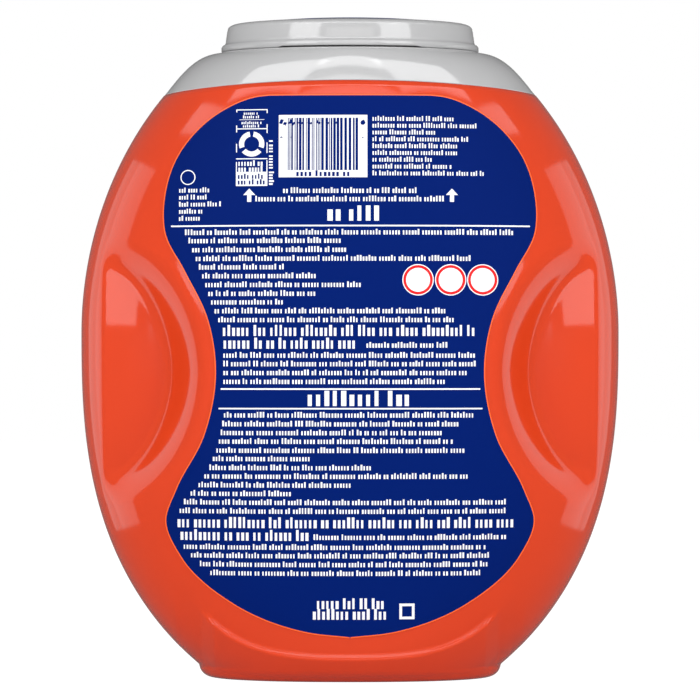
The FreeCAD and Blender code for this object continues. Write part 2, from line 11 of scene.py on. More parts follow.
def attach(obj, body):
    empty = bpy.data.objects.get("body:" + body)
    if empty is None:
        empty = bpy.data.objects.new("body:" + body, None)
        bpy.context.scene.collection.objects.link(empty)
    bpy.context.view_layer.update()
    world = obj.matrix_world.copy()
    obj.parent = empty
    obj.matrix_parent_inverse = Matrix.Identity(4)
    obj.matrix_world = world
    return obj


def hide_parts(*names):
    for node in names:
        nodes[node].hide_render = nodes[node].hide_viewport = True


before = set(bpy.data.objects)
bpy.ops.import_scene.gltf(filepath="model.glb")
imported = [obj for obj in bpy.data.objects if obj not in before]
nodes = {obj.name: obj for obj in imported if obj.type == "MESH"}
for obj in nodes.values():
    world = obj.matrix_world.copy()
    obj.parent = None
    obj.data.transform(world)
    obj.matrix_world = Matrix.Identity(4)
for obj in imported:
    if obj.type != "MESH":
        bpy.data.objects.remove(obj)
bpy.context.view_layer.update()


# The blown shell
# One skin of orange polyethylene, blown in a two-part mould: a belly with four finger grips, a foot
# ring round a pushed-up base, a ledge that the collar sits on, and a short neck.

BELLY_Z = 0.145
BELLY_HALF_WIDTH = 0.1131
BELLY_HALF_DEPTH = 0.082
UPPER_WIDTH_REACH = 0.1386
UPPER_WIDTH_POWERS = (1.944, 2.007)
LOWER_WIDTH_REACH = 0.1663
LOWER_WIDTH_POWERS = (2.687, 1.714)
UPPER_DEPTH_REACH = 0.163
LOWER_DEPTH_REACH = 0.204
SECTION_POWER = 2.3
SHELL_WALL = 0.0013
FOOT_HALF_WIDTH = 0.0635
FOOT_HALF_DEPTH = 0.0548
FOOT_EDGE_RADIUS = 0.0053
FOOT_TUCK = 1.5
FOOT_TOP = 0.020
FOOT_BLEND = 0.001
FOOT_ROWS = 14
CREASE_Z = 0.011
CREASE_RISE = 0.0153
CREASE_RISE_AT = 0.0575
CREASE_ROUND_SHARE = 0.73
CREASE_STEP = 0.0028
CREASE_STEP_HEIGHT = 0.0026
CREASE_STEP_SPREAD = 0.25
CREASE_STEP_EASE = 0.2
CREASE_STEP_END = 1.15
CREASE_STEP_FADE = 5
CREASE_SLOPE = 0.62
CREASE_END = 0.072
CREASE_BLEND = 0.0025
BASE_RING_WIDTH = 0.006
BASE_PUSH_UP = 0.004
BASE_DRAFT = 0.006
BASE_MIDDLE = 0.012
BASE_CORNER = 0.0012
BASE_CORNER_LIFT = 0.12
GRIP_X = 0.098
GRIP_Z = 0.1284
GRIP_HALF_WIDTH = 0.0396
GRIP_HALF_HEIGHT = 0.0560
GRIP_FLOOR_HALF_WIDTH = 0.0242
GRIP_FLOOR_HALF_HEIGHT = 0.0425
GRIP_FLOOR_POWER = 1.7
GRIP_FLOOR_SLOPE = 0.5
GRIP_FLOOR_BOW = 9.5
GRIP_RIDGE_X = 0.1028
GRIP_RIDGE_BLEND = 0.0012
GRIP_FLOOR_BLEND = 0.22
GRIP_RIM_POWER = 1.9
GRIP_LEAST_RIM = 0.001
GRIP_LEAST_FLOOR = 0.01
GRIP_LEAST_WALL = 0.05
LEDGE_Z = 0.2481
LEDGE_FALL = 0.0042
LEDGE_FALL_AT = 0.0784
LEDGE_FALL_FROM = 0.225
LEDGE_PASSES = 4
LEDGE_INSET = 0.0022
LEDGE_INSET_AT = 0.058
DECK_Z = 0.2491
DECK_TAPER = (0.952, 0.985)
DECK_ROUND = 0.99
DECK_CROWN = 0.0002
NECK_RADIUS = 0.0495
NECK_WALL = 0.0015
NECK_TOP = 0.2558
NECK_ROOT = 0.0008
NECK_CORNER = 0.0003
NECK_BEAD = 0.0006
NECK_BEAD_Z = 0.2534
NECK_BEAD_FLAT = 0.0004
NECK_BEAD_SLOPE = 0.001
COLUMNS = 256
CORNER_COLUMN_WEIGHT = 1.6
CORNER_ANGLE = 0.87
CORNER_SPREAD = 0.45
SIDE_ROWS = 240
GRIP_ROW_WEIGHT = 2.2
CREASE_ROW_WEIGHT = 5
CREASE_ROW_TOP = 0.032
INNER_ROW_STEP = 3
EASED_SAMPLES = 2000


def smooth_max(a, b, blend):
    """The larger of two values, rounded by a parabola where they come within blend of each other."""
    blend = np.maximum(blend, 1e-9)
    near = np.maximum(blend - np.abs(a - b), 0) / blend
    return np.maximum(a, b) + near * near * blend / 4


def profile(share, powers):
    """Falls from 1 to 0 as share goes from 0 to 1: one minus a power of share, then a root of it."""
    return np.maximum(1 - share ** powers[0], 0) ** (1 / powers[1])


def belly_half_width(z):
    """Belly's half-width at a height: the profile above and below the widest level."""
    share = np.abs(z - BELLY_Z)
    upper = profile(np.minimum(share / UPPER_WIDTH_REACH, 1), UPPER_WIDTH_POWERS)
    lower = profile(share / LOWER_WIDTH_REACH, LOWER_WIDTH_POWERS)
    return BELLY_HALF_WIDTH * np.where(z >= BELLY_Z, upper, lower)


def belly_half_depth(z):
    """Belly's half-depth at a height: half of a tall ellipse above, and of a taller one below."""
    reach = np.where(z >= BELLY_Z, UPPER_DEPTH_REACH, LOWER_DEPTH_REACH)
    return BELLY_HALF_DEPTH * profile(np.abs(z - BELLY_Z) / reach, (2, 2))


def belly_depth_at(x, z):
    """Distance of the plain belly from the middle plane at one place: a squared oval's equation."""
    share = np.minimum(np.abs(x) / belly_half_width(z), 1)
    return belly_half_depth(z) * (1 - share**SECTION_POWER) ** (1 / SECTION_POWER)


def grip_depth(x, z):
    """Depth of a finger grip: the gap between the belly and a bowed floor that slopes from the ridge,
    faded out up a steep wall with a rounded rim."""
    across = np.abs(np.abs(x) - GRIP_X)
    along = np.abs(z - GRIP_Z)
    rim = np.maximum(np.hypot(across / GRIP_HALF_WIDTH, along / GRIP_HALF_HEIGHT), GRIP_LEAST_RIM)
    power = GRIP_FLOOR_POWER
    floor = (across / GRIP_FLOOR_HALF_WIDTH) ** power + (along / GRIP_FLOOR_HALF_HEIGHT) ** power
    floor = np.maximum(floor ** (1 / power), GRIP_LEAST_FLOOR)
    wall = (floor - 1) / np.maximum(floor / rim - 1, GRIP_LEAST_WALL)
    left_over = 1 - np.clip(smooth_max(wall, 0.0, GRIP_FLOOR_BLEND), 0, 1)
    inward = GRIP_RIDGE_X - np.abs(x)
    ground = belly_depth_at(GRIP_RIDGE_X, z) + GRIP_FLOOR_SLOPE * inward
    ground = ground - GRIP_FLOOR_BOW * inward * np.abs(inward)
    below = smooth_max(belly_depth_at(x, z) - ground, 0.0, GRIP_RIDGE_BLEND)
    return below * left_over**GRIP_RIM_POWER


def crease_depth(x, z):
    """How far the lower front lies in: a curved line under the label, with a small step out along it and
    a slope that tucks in below."""
    across = (x / CREASE_RISE_AT) ** 2
    crease = CREASE_Z + CREASE_RISE * (across * (1 - CREASE_ROUND_SHARE) + across**2 * CREASE_ROUND_SHARE)
    slope = CREASE_SLOPE * np.maximum(1 - (x / CREASE_END) ** 2, 0)
    step = np.clip((crease - z) / CREASE_STEP_HEIGHT + 0.5, 0, 1)
    step = step * (1 - CREASE_STEP_EASE) + step * step * (3 - 2 * step) * CREASE_STEP_EASE
    end_fade = np.clip((CREASE_STEP_END - across) * CREASE_STEP_FADE, 0, 1)
    step *= CREASE_STEP * (1 + CREASE_STEP_SPREAD * across) * end_fade
    return slope * smooth_max(crease - z, 0.0, CREASE_BLEND) - step


def squared(angle, power):
    """Cosine and sine of an angle, each raised to 2 / power with its sign kept: a squared oval."""
    cosine = np.cos(angle)
    sine = np.sin(angle)
    across = np.sign(cosine) * np.abs(cosine) ** (2 / power)
    along = np.sign(sine) * np.abs(sine) ** (2 / power)
    return across, along


def shell_skin(angle, z):
    """Points of the shell's outside: squared ovals of the belly's size, less the grips and the crease,
    joined to the foot's oval by a smooth maximum."""
    up = np.clip(FOOT_EDGE_RADIUS - z, 0, FOOT_EDGE_RADIUS)
    foot_in = FOOT_EDGE_RADIUS - np.sqrt(FOOT_EDGE_RADIUS**2 - up**2)
    body_in = FOOT_TUCK * foot_in
    fade = np.clip((FOOT_TOP - z) / FOOT_TOP, 0, 1)
    across, along = squared(angle, SECTION_POWER)
    foot_x = (FOOT_HALF_WIDTH - foot_in) * (fade > 0)
    x = np.abs(across) * smooth_max(belly_half_width(z) - body_in, foot_x, FOOT_BLEND * fade)
    y = belly_half_depth(z) * np.abs(along) - crease_depth(x, z) - grip_depth(x, z) - body_in
    foot_y = (FOOT_HALF_DEPTH - foot_in) * np.abs(along) * (fade > 0)
    y = smooth_max(y, foot_y, FOOT_BLEND * fade * np.abs(along))
    return np.stack([x * np.sign(across), y * np.sign(along), z + 0 * x], axis=-1)


def ledge_edge(x):
    """Height of the curved edge between shell and collar: a parabola that falls towards the sides."""
    return LEDGE_Z - LEDGE_FALL * (x / LEDGE_FALL_AT) ** 2


def outward_of(points):
    """Unit normals of a grid of points, from the cross product of its two directions."""
    around = np.roll(points, -1, axis=1) - np.roll(points, 1, axis=1)
    up = np.gradient(points, axis=0)
    normal = np.cross(around, up)
    return normal / np.maximum(np.linalg.norm(normal, axis=-1, keepdims=True), 1e-12)


def eased_steps(weight_at, low, high, count):
    """Values from low to high, closer together where the weight is larger."""
    fine = np.linspace(low, high, EASED_SAMPLES)
    share = np.concatenate([[0], np.cumsum(weight_at(fine[:-1]))])
    return np.interp(np.linspace(0, share[-1], count), share, fine)


def column_weight(angle):
    """More columns round the four corners of the section, where the grips are."""
    from_corner = np.abs(np.abs(np.mod(angle, np.pi) - np.pi / 2) - CORNER_ANGLE)
    return 1 + CORNER_COLUMN_WEIGHT * (from_corner < CORNER_SPREAD)


def row_weight(z):
    """More rows at the height of the grips, and most of all at the crease."""
    at_grip = (z > GRIP_Z - GRIP_HALF_HEIGHT) & (z < GRIP_Z + GRIP_HALF_HEIGHT)
    return 1 + GRIP_ROW_WEIGHT * at_grip + CREASE_ROW_WEIGHT * (z < CREASE_ROW_TOP)


def circle_ring(radius, z, angle):
    """One level ring of points."""
    return np.stack([radius * np.cos(angle), radius * np.sin(angle), z + 0 * angle], axis=-1)


def oval_ring(half_width, half_depth, z, angle, power=2.0):
    """One level ring of points on a squared oval."""
    across, along = squared(angle, power)
    return np.stack([half_width * across, half_depth * along, z + 0 * angle], axis=-1)


def ring_mesh(name, rings, poles=True, loop=False):
    """A mesh from rings of points, each ring joined to the next by four-sided faces. With poles the
    first and last rings close on a point, and with loop the last ring joins the first."""
    grid = np.asarray(rings, float)
    rows, columns = grid.shape[:2]
    index = np.arange(rows * columns).reshape(rows, columns)
    if loop:
        index = np.vstack([index, index[:1]])
    here = index[:-1]
    above = index[1:]
    quads = np.stack([here, np.roll(here, -1, 1), np.roll(above, -1, 1), above], axis=-1).reshape(-1, 4)
    points = grid.reshape(-1, 3)
    faces = quads.tolist()
    if poles:
        first = len(points)
        points = np.vstack([points, grid[0].mean(0), grid[-1].mean(0)])
        start = np.stack([np.full(columns, first), np.roll(index[0], -1), index[0]], axis=-1)
        end = np.stack([np.full(columns, first + 1), index[-1], np.roll(index[-1], -1)], axis=-1)
        faces += start.tolist() + end.tolist()
    mesh = bpy.data.meshes.new(name)
    mesh.from_pydata(points.tolist(), [], faces)
    mesh.polygons.foreach_set("use_smooth", np.ones(len(mesh.polygons), bool))
    mesh.update()
    return mesh


def add_piece(name, mesh, body, material):
    """Puts a finished mesh in the scene as a piece that moves with one body."""
    piece = bpy.data.objects.new(name, mesh)
    bpy.context.scene.collection.objects.link(piece)
    mesh.materials.append(material)
    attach(piece, body)
    return piece


shell_angles = eased_steps(column_weight, 0, 2 * np.pi, COLUMNS + 1)[:-1]
foot_levels = FOOT_EDGE_RADIUS * (1 - np.cos(np.linspace(0, np.pi / 2, FOOT_ROWS)))
side_share = eased_steps(row_weight, FOOT_EDGE_RADIUS, LEDGE_Z, SIDE_ROWS)[1:]
edge_z = LEDGE_Z + 0 * shell_angles
for _ in range(LEDGE_PASSES):
    edge_z = ledge_edge(shell_skin(shell_angles, edge_z)[:, 0])
rise = np.clip((side_share - LEDGE_FALL_FROM) / (LEDGE_Z - LEDGE_FALL_FROM), 0, 1)[:, None]
side_levels = side_share[:, None] + rise**2 * (edge_z - LEDGE_Z)[None, :]
side_levels = np.vstack([np.repeat(foot_levels[:, None], COLUMNS, 1), side_levels])
outside = shell_skin(shell_angles[None, :], side_levels)
inside = outside - SHELL_WALL * outward_of(outside)
inside[..., 2] = np.clip(inside[..., 2], SHELL_WALL, DECK_Z - SHELL_WALL)

ring_inset = FOOT_EDGE_RADIUS + BASE_RING_WIDTH
base_steps = (
    (ring_inset + BASE_DRAFT + BASE_MIDDLE, 1.0),
    (ring_inset + BASE_DRAFT, 1.0),
    (ring_inset + BASE_DRAFT - BASE_CORNER, 1 - BASE_CORNER_LIFT),
    (ring_inset + BASE_CORNER, BASE_CORNER_LIFT),
    (ring_inset, 0.0),
)
base_rings = []
for inset, lift in base_steps:
    half_width = FOOT_HALF_WIDTH - inset
    half_depth = FOOT_HALF_DEPTH - inset
    base_rings.append(oval_ring(half_width, half_depth, BASE_PUSH_UP * lift, shell_angles, SECTION_POWER))
ledge_in = 1 - LEDGE_INSET / LEDGE_INSET_AT
top_rings = [outside[-1] * [ledge_in, ledge_in, 1]]
deck_edge = outside[-1] * [ledge_in * DECK_TAPER[0], ledge_in * DECK_TAPER[1], 0]
top_rings += [deck_edge + [0, 0, DECK_Z], deck_edge * DECK_ROUND + [0, 0, DECK_Z + DECK_CROWN]]
neck_inner = NECK_RADIUS - NECK_WALL
neck_outline = [
    (NECK_RADIUS + NECK_ROOT, DECK_Z + DECK_CROWN), (NECK_RADIUS, DECK_Z + DECK_CROWN + NECK_ROOT),
    (NECK_RADIUS, NECK_BEAD_Z - NECK_BEAD_SLOPE), (NECK_RADIUS + NECK_BEAD, NECK_BEAD_Z - NECK_BEAD_FLAT),
    (NECK_RADIUS + NECK_BEAD, NECK_BEAD_Z), (NECK_RADIUS, NECK_BEAD_Z + NECK_BEAD_SLOPE),
    (NECK_RADIUS, NECK_TOP - NECK_CORNER), (NECK_RADIUS - NECK_CORNER, NECK_TOP),
    (neck_inner + NECK_CORNER, NECK_TOP), (neck_inner, NECK_TOP - NECK_CORNER),
    (neck_inner, DECK_Z), (neck_inner + NECK_ROOT, DECK_Z - SHELL_WALL),
]
top_rings += [circle_ring(radius, z, shell_angles) for radius, z in neck_outline]
inner_top = deck_edge * DECK_ROUND + [0, 0, DECK_Z - SHELL_WALL]
inner_rings = [inner_top] + list(inside[-2::-INNER_ROW_STEP])
inner_base = [ring + [0, 0, SHELL_WALL] for ring in base_rings[::-1]]
shell_rings = base_rings + list(outside) + top_rings + inner_rings + inner_base
tub_mesh = ring_mesh("tub", shell_rings)


GRAIN_SCALE = 2600
GRAIN_ROUGHNESS = 0.05
DRIFT_FROM = 0.98
BUMP_DISTANCE = 0.001
PLASTIC_IOR = 1.5
SHELL_ORANGE = (0.635, 0.046, 0.0085)


def math_node(tree, operation, *given):
    """A Math node's output. What it is given is, in order, numbers and other nodes' outputs."""
    node = tree.nodes.new("ShaderNodeMath")
    node.operation = operation
    for socket, value in zip(node.inputs, given):
        if isinstance(value, bpy.types.NodeSocket):
            tree.links.new(value, socket)
        else:
            socket.default_value = value
    return node.outputs[0]


def moulded_skin():
    """Group for every moulded plastic: a faint waviness and colour drift from 3-D noise."""
    group = bpy.data.node_groups.new("moulded_skin", "ShaderNodeTree")
    made = group.interface
    for name, kind, value in (
        ("Colour", "NodeSocketColor", (0.8, 0.8, 0.8, 1)),
        ("Drift", "NodeSocketFloat", 0.04),
        ("Wave size", "NodeSocketFloat", 60.0),
        ("Wave height", "NodeSocketFloat", 0.03),
        ("Grain height", "NodeSocketFloat", 0.02),
        ("Gloss roughness", "NodeSocketFloat", 0.2),
    ):
        made.new_socket(name=name, in_out="INPUT", socket_type=kind).default_value = value
    made.new_socket(name="Colour", in_out="OUTPUT", socket_type="NodeSocketColor")
    made.new_socket(name="Roughness", in_out="OUTPUT", socket_type="NodeSocketFloat")
    made.new_socket(name="Height", in_out="OUTPUT", socket_type="NodeSocketFloat")
    new = group.nodes.new
    given = new("NodeGroupInput")
    result = new("NodeGroupOutput")
    place = new("ShaderNodeTexCoord")
    wave = new("ShaderNodeTexNoise")
    grain = new("ShaderNodeTexNoise")
    grain.inputs["Scale"].default_value = GRAIN_SCALE
    wave.inputs["Detail"].default_value = 1.0
    link = group.links.new
    link(place.outputs["Object"], wave.inputs["Vector"])
    link(place.outputs["Object"], grain.inputs["Vector"])
    link(given.outputs["Wave size"], wave.inputs["Scale"])
    tint = new("ShaderNodeVectorMath")
    tint.operation = "SCALE"
    drift = math_node(group, "MULTIPLY_ADD", wave.outputs["Fac"], given.outputs["Drift"], DRIFT_FROM)
    link(given.outputs["Colour"], tint.inputs[0])
    link(drift, tint.inputs["Scale"])
    link(tint.outputs[0], result.inputs["Colour"])
    smoothest = given.outputs["Gloss roughness"]
    rough = math_node(group, "MULTIPLY_ADD", grain.outputs["Fac"], GRAIN_ROUGHNESS, smoothest)
    link(rough, result.inputs["Roughness"])
    waves = math_node(group, "MULTIPLY", wave.outputs["Fac"], given.outputs["Wave height"])
    height = math_node(group, "MULTIPLY_ADD", grain.outputs["Fac"], given.outputs["Grain height"], waves)
    link(height, result.inputs["Height"])
    return group


moulded = moulded_skin()


def plastic(name, colour, roughness, specular, wave_height, grain_height, drift=0.04):
    """A moulded plastic: the group's colour, roughness and height on one Principled shader."""
    material = bpy.data.materials.new(name)
    material.use_nodes = True
    tree = material.node_tree
    shader = tree.nodes["Principled BSDF"]
    skin = tree.nodes.new("ShaderNodeGroup")
    skin.node_tree = moulded
    skin.inputs["Colour"].default_value = (*colour, 1)
    skin.inputs["Drift"].default_value = drift
    skin.inputs["Wave height"].default_value = wave_height
    skin.inputs["Grain height"].default_value = grain_height
    skin.inputs["Gloss roughness"].default_value = roughness
    bump = tree.nodes.new("ShaderNodeBump")
    bump.inputs["Strength"].default_value = 1.0
    bump.inputs["Distance"].default_value = BUMP_DISTANCE
    tree.links.new(skin.outputs["Colour"], shader.inputs["Base Color"])
    tree.links.new(skin.outputs["Roughness"], shader.inputs["Roughness"])
    tree.links.new(skin.outputs["Height"], bump.inputs["Height"])
    tree.links.new(bump.outputs["Normal"], shader.inputs["Normal"])
    shader.inputs["Specular IOR Level"].default_value = specular
    shader.inputs["IOR"].default_value = PLASTIC_IOR
    return material


shell_plastic = plastic(
    "shell_plastic", SHELL_ORANGE, roughness=0.06, specular=0.5, wave_height=0.05, grain_height=0.004
)
tub = add_piece("tub_shell", tub_mesh, "tub", shell_plastic)
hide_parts("tub_body")


# The collar
# Grey polypropylene, moulded in one: a domed skirt that meets the shell flush, a rim band under the lid,
# the spout ring, and a sleeve that snaps over the neck's bead. Slots at the front let the latches through.

COLLAR_TOP_Z = 0.2616
COLLAR_LOW_Z = 0.243
COLLAR_HALF_WIDTH = belly_half_width(COLLAR_LOW_Z)
COLLAR_HALF_DEPTH = belly_half_depth(COLLAR_LOW_Z)
COLLAR_TOP_RADIUS = 0.056
COLLAR_SIDE_POWERS = (0.85, 2.0)
COLLAR_FRONT_POWERS = (1.0, 1.5)
COLLAR_WALL = 0.0018
RIM_RADIUS = 0.0545
RIM_HEIGHT = 0.0007
SPOUT_RADIUS = 0.0462
SPOUT_WALL = 0.0016
SPOUT_TOP = 0.2675
SPOUT_LIP_OUTSIDE = ((0.0, 0.0006), (0.0003, 0.0001), (0.0008, 0.0))
SPOUT_LIP_INSIDE = ((0.0003, 0.0001), (0.0, 0.0005))
SLEEVE_GAP = 0.0002
SLEEVE_WALL = 0.0015
SLEEVE_LIFT = 0.0003
COLLAR_CORNER = 0.0003
DOME_ROWS = 60
GREY = (0.44, 0.44, 0.445)
grey_plastic = plastic(
    "closure_plastic", GREY, roughness=0.07, specular=1.0, wave_height=0.01, grain_height=0.004, drift=0.02
)
rim_top = COLLAR_TOP_Z + RIM_HEIGHT
plate_under = COLLAR_TOP_Z - COLLAR_WALL
spout_inner = SPOUT_RADIUS - SPOUT_WALL
sleeve_inner = NECK_RADIUS + SLEEVE_GAP
sleeve_outer = sleeve_inner + SLEEVE_WALL
round_angles = np.linspace(0, 2 * np.pi, COLUMNS, endpoint=False)


def dome_skin(angle, z):
    """Points of the collar's dome: squared ovals that shrink to the rim's circle with height."""
    share = np.clip((z - COLLAR_LOW_Z) / (COLLAR_TOP_Z - COLLAR_LOW_Z), 0, 1)
    side_reach = COLLAR_HALF_WIDTH - COLLAR_TOP_RADIUS
    front_reach = COLLAR_HALF_DEPTH - COLLAR_TOP_RADIUS
    half_width = COLLAR_TOP_RADIUS + side_reach * profile(share, COLLAR_SIDE_POWERS)
    half_depth = COLLAR_TOP_RADIUS + front_reach * profile(share, COLLAR_FRONT_POWERS)
    across, along = squared(angle, SECTION_POWER + (2 - SECTION_POWER) * share**3)
    return np.stack([half_width * across, half_depth * along, z + 0 * across], axis=-1)


collar_low = LEDGE_Z + 0 * round_angles
for _ in range(LEDGE_PASSES):
    collar_low = ledge_edge(dome_skin(round_angles, collar_low)[:, 0])
dome_share = 1 - (1 - np.linspace(0, 1, DOME_ROWS)) ** 2
dome_levels = collar_low[None, :] + dome_share[:, None] * (COLLAR_TOP_Z - collar_low)[None, :]
dome_outer = dome_skin(round_angles[None, :], dome_levels)
dome_inner = dome_outer - COLLAR_WALL * outward_of(dome_outer)
dome_inner[..., 2] = np.clip(dome_inner[..., 2], collar_low[None, :], plate_under)
sleeve_low = DECK_Z + SLEEVE_LIFT
corner = COLLAR_CORNER
collar_outline = [
    (RIM_RADIUS + corner, COLLAR_TOP_Z), (RIM_RADIUS, COLLAR_TOP_Z + corner),
    (RIM_RADIUS, rim_top - corner), (RIM_RADIUS - corner, rim_top),
    (SPOUT_RADIUS + corner, rim_top), (SPOUT_RADIUS, rim_top + corner),
]
collar_outline += [(SPOUT_RADIUS - inward, SPOUT_TOP - down) for inward, down in SPOUT_LIP_OUTSIDE]
collar_outline += [(spout_inner + outward, SPOUT_TOP - down) for outward, down in SPOUT_LIP_INSIDE]
collar_outline += [
    (spout_inner, plate_under + corner), (spout_inner + corner, plate_under), (sleeve_inner, plate_under),
    (sleeve_inner, sleeve_low + corner), (sleeve_inner + corner, sleeve_low),
    (sleeve_outer - corner, sleeve_low), (sleeve_outer, sleeve_low + corner),
    (sleeve_outer, plate_under - 2 * corner), (sleeve_outer + 2 * corner, plate_under),
]
collar_rings = list(dome_outer) + [circle_ring(radius, z, round_angles) for radius, z in collar_outline]
collar_rings += list(dome_inner[::-INNER_ROW_STEP])
collar_mesh = ring_mesh("collar", collar_rings, poles=False, loop=True)
collar = add_piece("collar_shell", collar_mesh, "tub", grey_plastic)

LATCH_ANGLE = 26.0
LATCH_SLOT_WIDTH = 0.0086
HOOK_SLOT_NEAR = 0.0463
HOOK_SLOT_FAR = 0.0497
BUTTON_SLOT_WIDTH = 0.016
BUTTON_WALL = 0.002
BUTTON_SLOT_LOW = COLLAR_TOP_Z - 0.0096
BUTTON_SLOT_HIGH = COLLAR_TOP_Z - 0.0026
CUT_REACH = 0.0005


def cut_box(piece, width, near, far, low, high, direction):
    """Cuts a box out of a piece, from near to far along a direction in degrees round the Z axis."""
    sideways = (-width / 2, width / 2)
    cube = np.array([(x, y, z) for x in (near, far) for y in sideways for z in (low, high)])
    turn = math.radians(direction)
    across = cube[:, 0] * math.cos(turn) - cube[:, 1] * math.sin(turn)
    along = cube[:, 0] * math.sin(turn) + cube[:, 1] * math.cos(turn)
    mesh = bpy.data.meshes.new("cutter")
    sides = [(0, 1, 3, 2), (4, 6, 7, 5), (0, 4, 5, 1), (2, 3, 7, 6), (0, 2, 6, 4), (1, 5, 7, 3)]
    mesh.from_pydata(np.stack([across, along, cube[:, 2]], axis=1).tolist(), [], sides)
    cutter = bpy.data.objects.new("cutter", mesh)
    bpy.context.scene.collection.objects.link(cutter)
    cut = piece.modifiers.new("cut", "BOOLEAN")
    cut.operation = "DIFFERENCE"
    cut.solver = "EXACT"
    cut.object = cutter
    graph = bpy.context.evaluated_depsgraph_get()
    piece.data = bpy.data.meshes.new_from_object(piece.evaluated_get(graph))
    piece.modifiers.clear()
    bpy.data.objects.remove(cutter)
    bpy.data.meshes.remove(mesh)


hook_slot = (LATCH_SLOT_WIDTH, HOOK_SLOT_NEAR, HOOK_SLOT_FAR, plate_under - CUT_REACH, rim_top + CUT_REACH)
sleeve_near = sleeve_inner - CUT_REACH
sleeve_slot = (LATCH_SLOT_WIDTH, sleeve_near, sleeve_outer + CUT_REACH, NECK_TOP + SLEEVE_GAP, plate_under)
button_near = sleeve_outer + BUTTON_WALL
button_slot = (BUTTON_SLOT_WIDTH, button_near, BELLY_HALF_WIDTH, BUTTON_SLOT_LOW, BUTTON_SLOT_HIGH)
for direction in (90 - LATCH_ANGLE, 90 + LATCH_ANGLE):
    for slot in (hook_slot, sleeve_slot, button_slot):
        cut_box(collar, *slot, direction)
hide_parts("collar")


# The lid
# Grey flip-top with a flange, a slightly coned wall, a rounded shoulder and a shallow crown. Under it is
# the plug ring that seals the spout. Across the back its edge is raised a little over the hinge.

LID_GAP = 0.0002
LID_FLANGE_RADIUS = 0.0542
LID_FLANGE_TOP = 0.2653
LID_FLANGE_EDGE = ((0.0, 0.0010), (0.0003, 0.0004), (0.0007, 0.0))
LID_CORNER = 0.0003
LID_CONE_RADIUS = 0.0526
LID_CONE_FOOT = ((0.0003, 0.0003), (0.0, 0.0007), (-0.0002, 0.0012))
LID_CONE_FROM = 0.0018
LID_CONE_ROWS = 5
LID_SHOULDER_RADIUS = 0.0517
LID_SHOULDER_Z = 0.2716
LID_SHOULDER_IN = 0.0001
LID_SHOULDER_BELOW = 0.0006
LID_SHOULDER_POWERS = (1.1, 0.9)
LID_SHOULDER_ROWS = 9
LID_CROWN_RADIUS = 0.0465
LID_CROWN_Z = 0.2743
LID_CROWN_IN = 0.0004
LID_CROWN_ROWS = 5
LID_APEX_Z = 0.2768
LID_POLE_RADIUS = 0.002
LID_WALL = 0.0017
LID_INNER_CORNER = 0.0015
LID_INNER_DROP = 0.0004
LID_LABEL_RADIUS = 0.043
LID_LABEL_RECESS = 0.0004
LID_RECESS_EDGE = (0.0006, 0.0003)
LID_PANEL_ROWS = 16
LIP_HALF_WIDTH = 0.015
LIP_REACH = 0.004
LIP_THICKNESS = 0.002
LIP_SIDE_EASE = 0.004
LIP_UNDER_EASE = 0.0004
LIP_FROM = 0.0006
LIP_OVER = 0.0001
PLUG_GAP = 0.0002
PLUG_WALL = 0.0013
PLUG_ROOT = 0.0006
PLUG_OUTER_ROOT = (0.0004, 0.0005)
PLUG_STEP = 0.0002
PLUG_BEAD_Z = 0.267
PLUG_BEAD_RISE = 0.0008
PLUG_TIP_Z = 0.2655
PLUG_TAPER = 0.00075
HINGE_RELIEF = 0.0005
HINGE_RELIEF_HALF_WIDTH = 0.030
HINGE_RELIEF_EASE = 0.002
HINGE_RELIEF_TOP = 0.0012
HINGE_RELIEF_FADE = 0.0006
lid_bottom = rim_top + LID_GAP


def crown_height(radius):
    """Height of the lid's crown at a distance from its middle: a shallow ball cap."""
    crown_rise = LID_APEX_Z - LID_CROWN_Z
    ball = (LID_CROWN_RADIUS**2 + crown_rise**2) / (2 * crown_rise)
    return LID_APEX_Z - ball + np.sqrt(ball**2 - radius**2)


skirt_inner = LID_FLANGE_RADIUS - LID_WALL
shoulder_inner = LID_SHOULDER_RADIUS - LID_WALL
plug_radius = spout_inner - PLUG_GAP
plug_inner = plug_radius - PLUG_WALL
plug_root = LID_CROWN_Z - LID_WALL
lid_outline = [
    (LID_POLE_RADIUS, plug_root), (plug_inner - PLUG_ROOT, plug_root), (plug_inner, plug_root - PLUG_ROOT),
    (plug_inner, PLUG_TIP_Z + PLUG_STEP), (plug_inner + PLUG_STEP, PLUG_TIP_Z),
    (plug_radius - PLUG_TAPER, PLUG_TIP_Z), (plug_radius, PLUG_BEAD_Z),
    (plug_radius - PLUG_STEP, PLUG_BEAD_Z + PLUG_BEAD_RISE),
    (plug_radius - PLUG_STEP, plug_root - PLUG_OUTER_ROOT[1]), (plug_radius + PLUG_OUTER_ROOT[0], plug_root),
    (shoulder_inner - LID_INNER_CORNER, plug_root), (shoulder_inner, LID_SHOULDER_Z),
    (LID_CONE_RADIUS - LID_WALL, LID_FLANGE_TOP), (skirt_inner, LID_FLANGE_TOP - LID_INNER_DROP),
    (skirt_inner, lid_bottom + LID_CORNER), (skirt_inner + LID_CORNER, lid_bottom),
    (LID_FLANGE_RADIUS - LID_CORNER, lid_bottom), (LID_FLANGE_RADIUS, lid_bottom + LID_CORNER),
]
lid_outline += [(LID_FLANGE_RADIUS - inward, LID_FLANGE_TOP - down) for inward, down in LID_FLANGE_EDGE]
lid_outline += [(LID_CONE_RADIUS + outward, LID_FLANGE_TOP + up) for outward, up in LID_CONE_FOOT]
cone_z = np.linspace(LID_FLANGE_TOP + LID_CONE_FROM, LID_SHOULDER_Z - LID_SHOULDER_BELOW, LID_CONE_ROWS)
cone_share = (cone_z - LID_FLANGE_TOP) / (LID_SHOULDER_Z - LID_FLANGE_TOP)
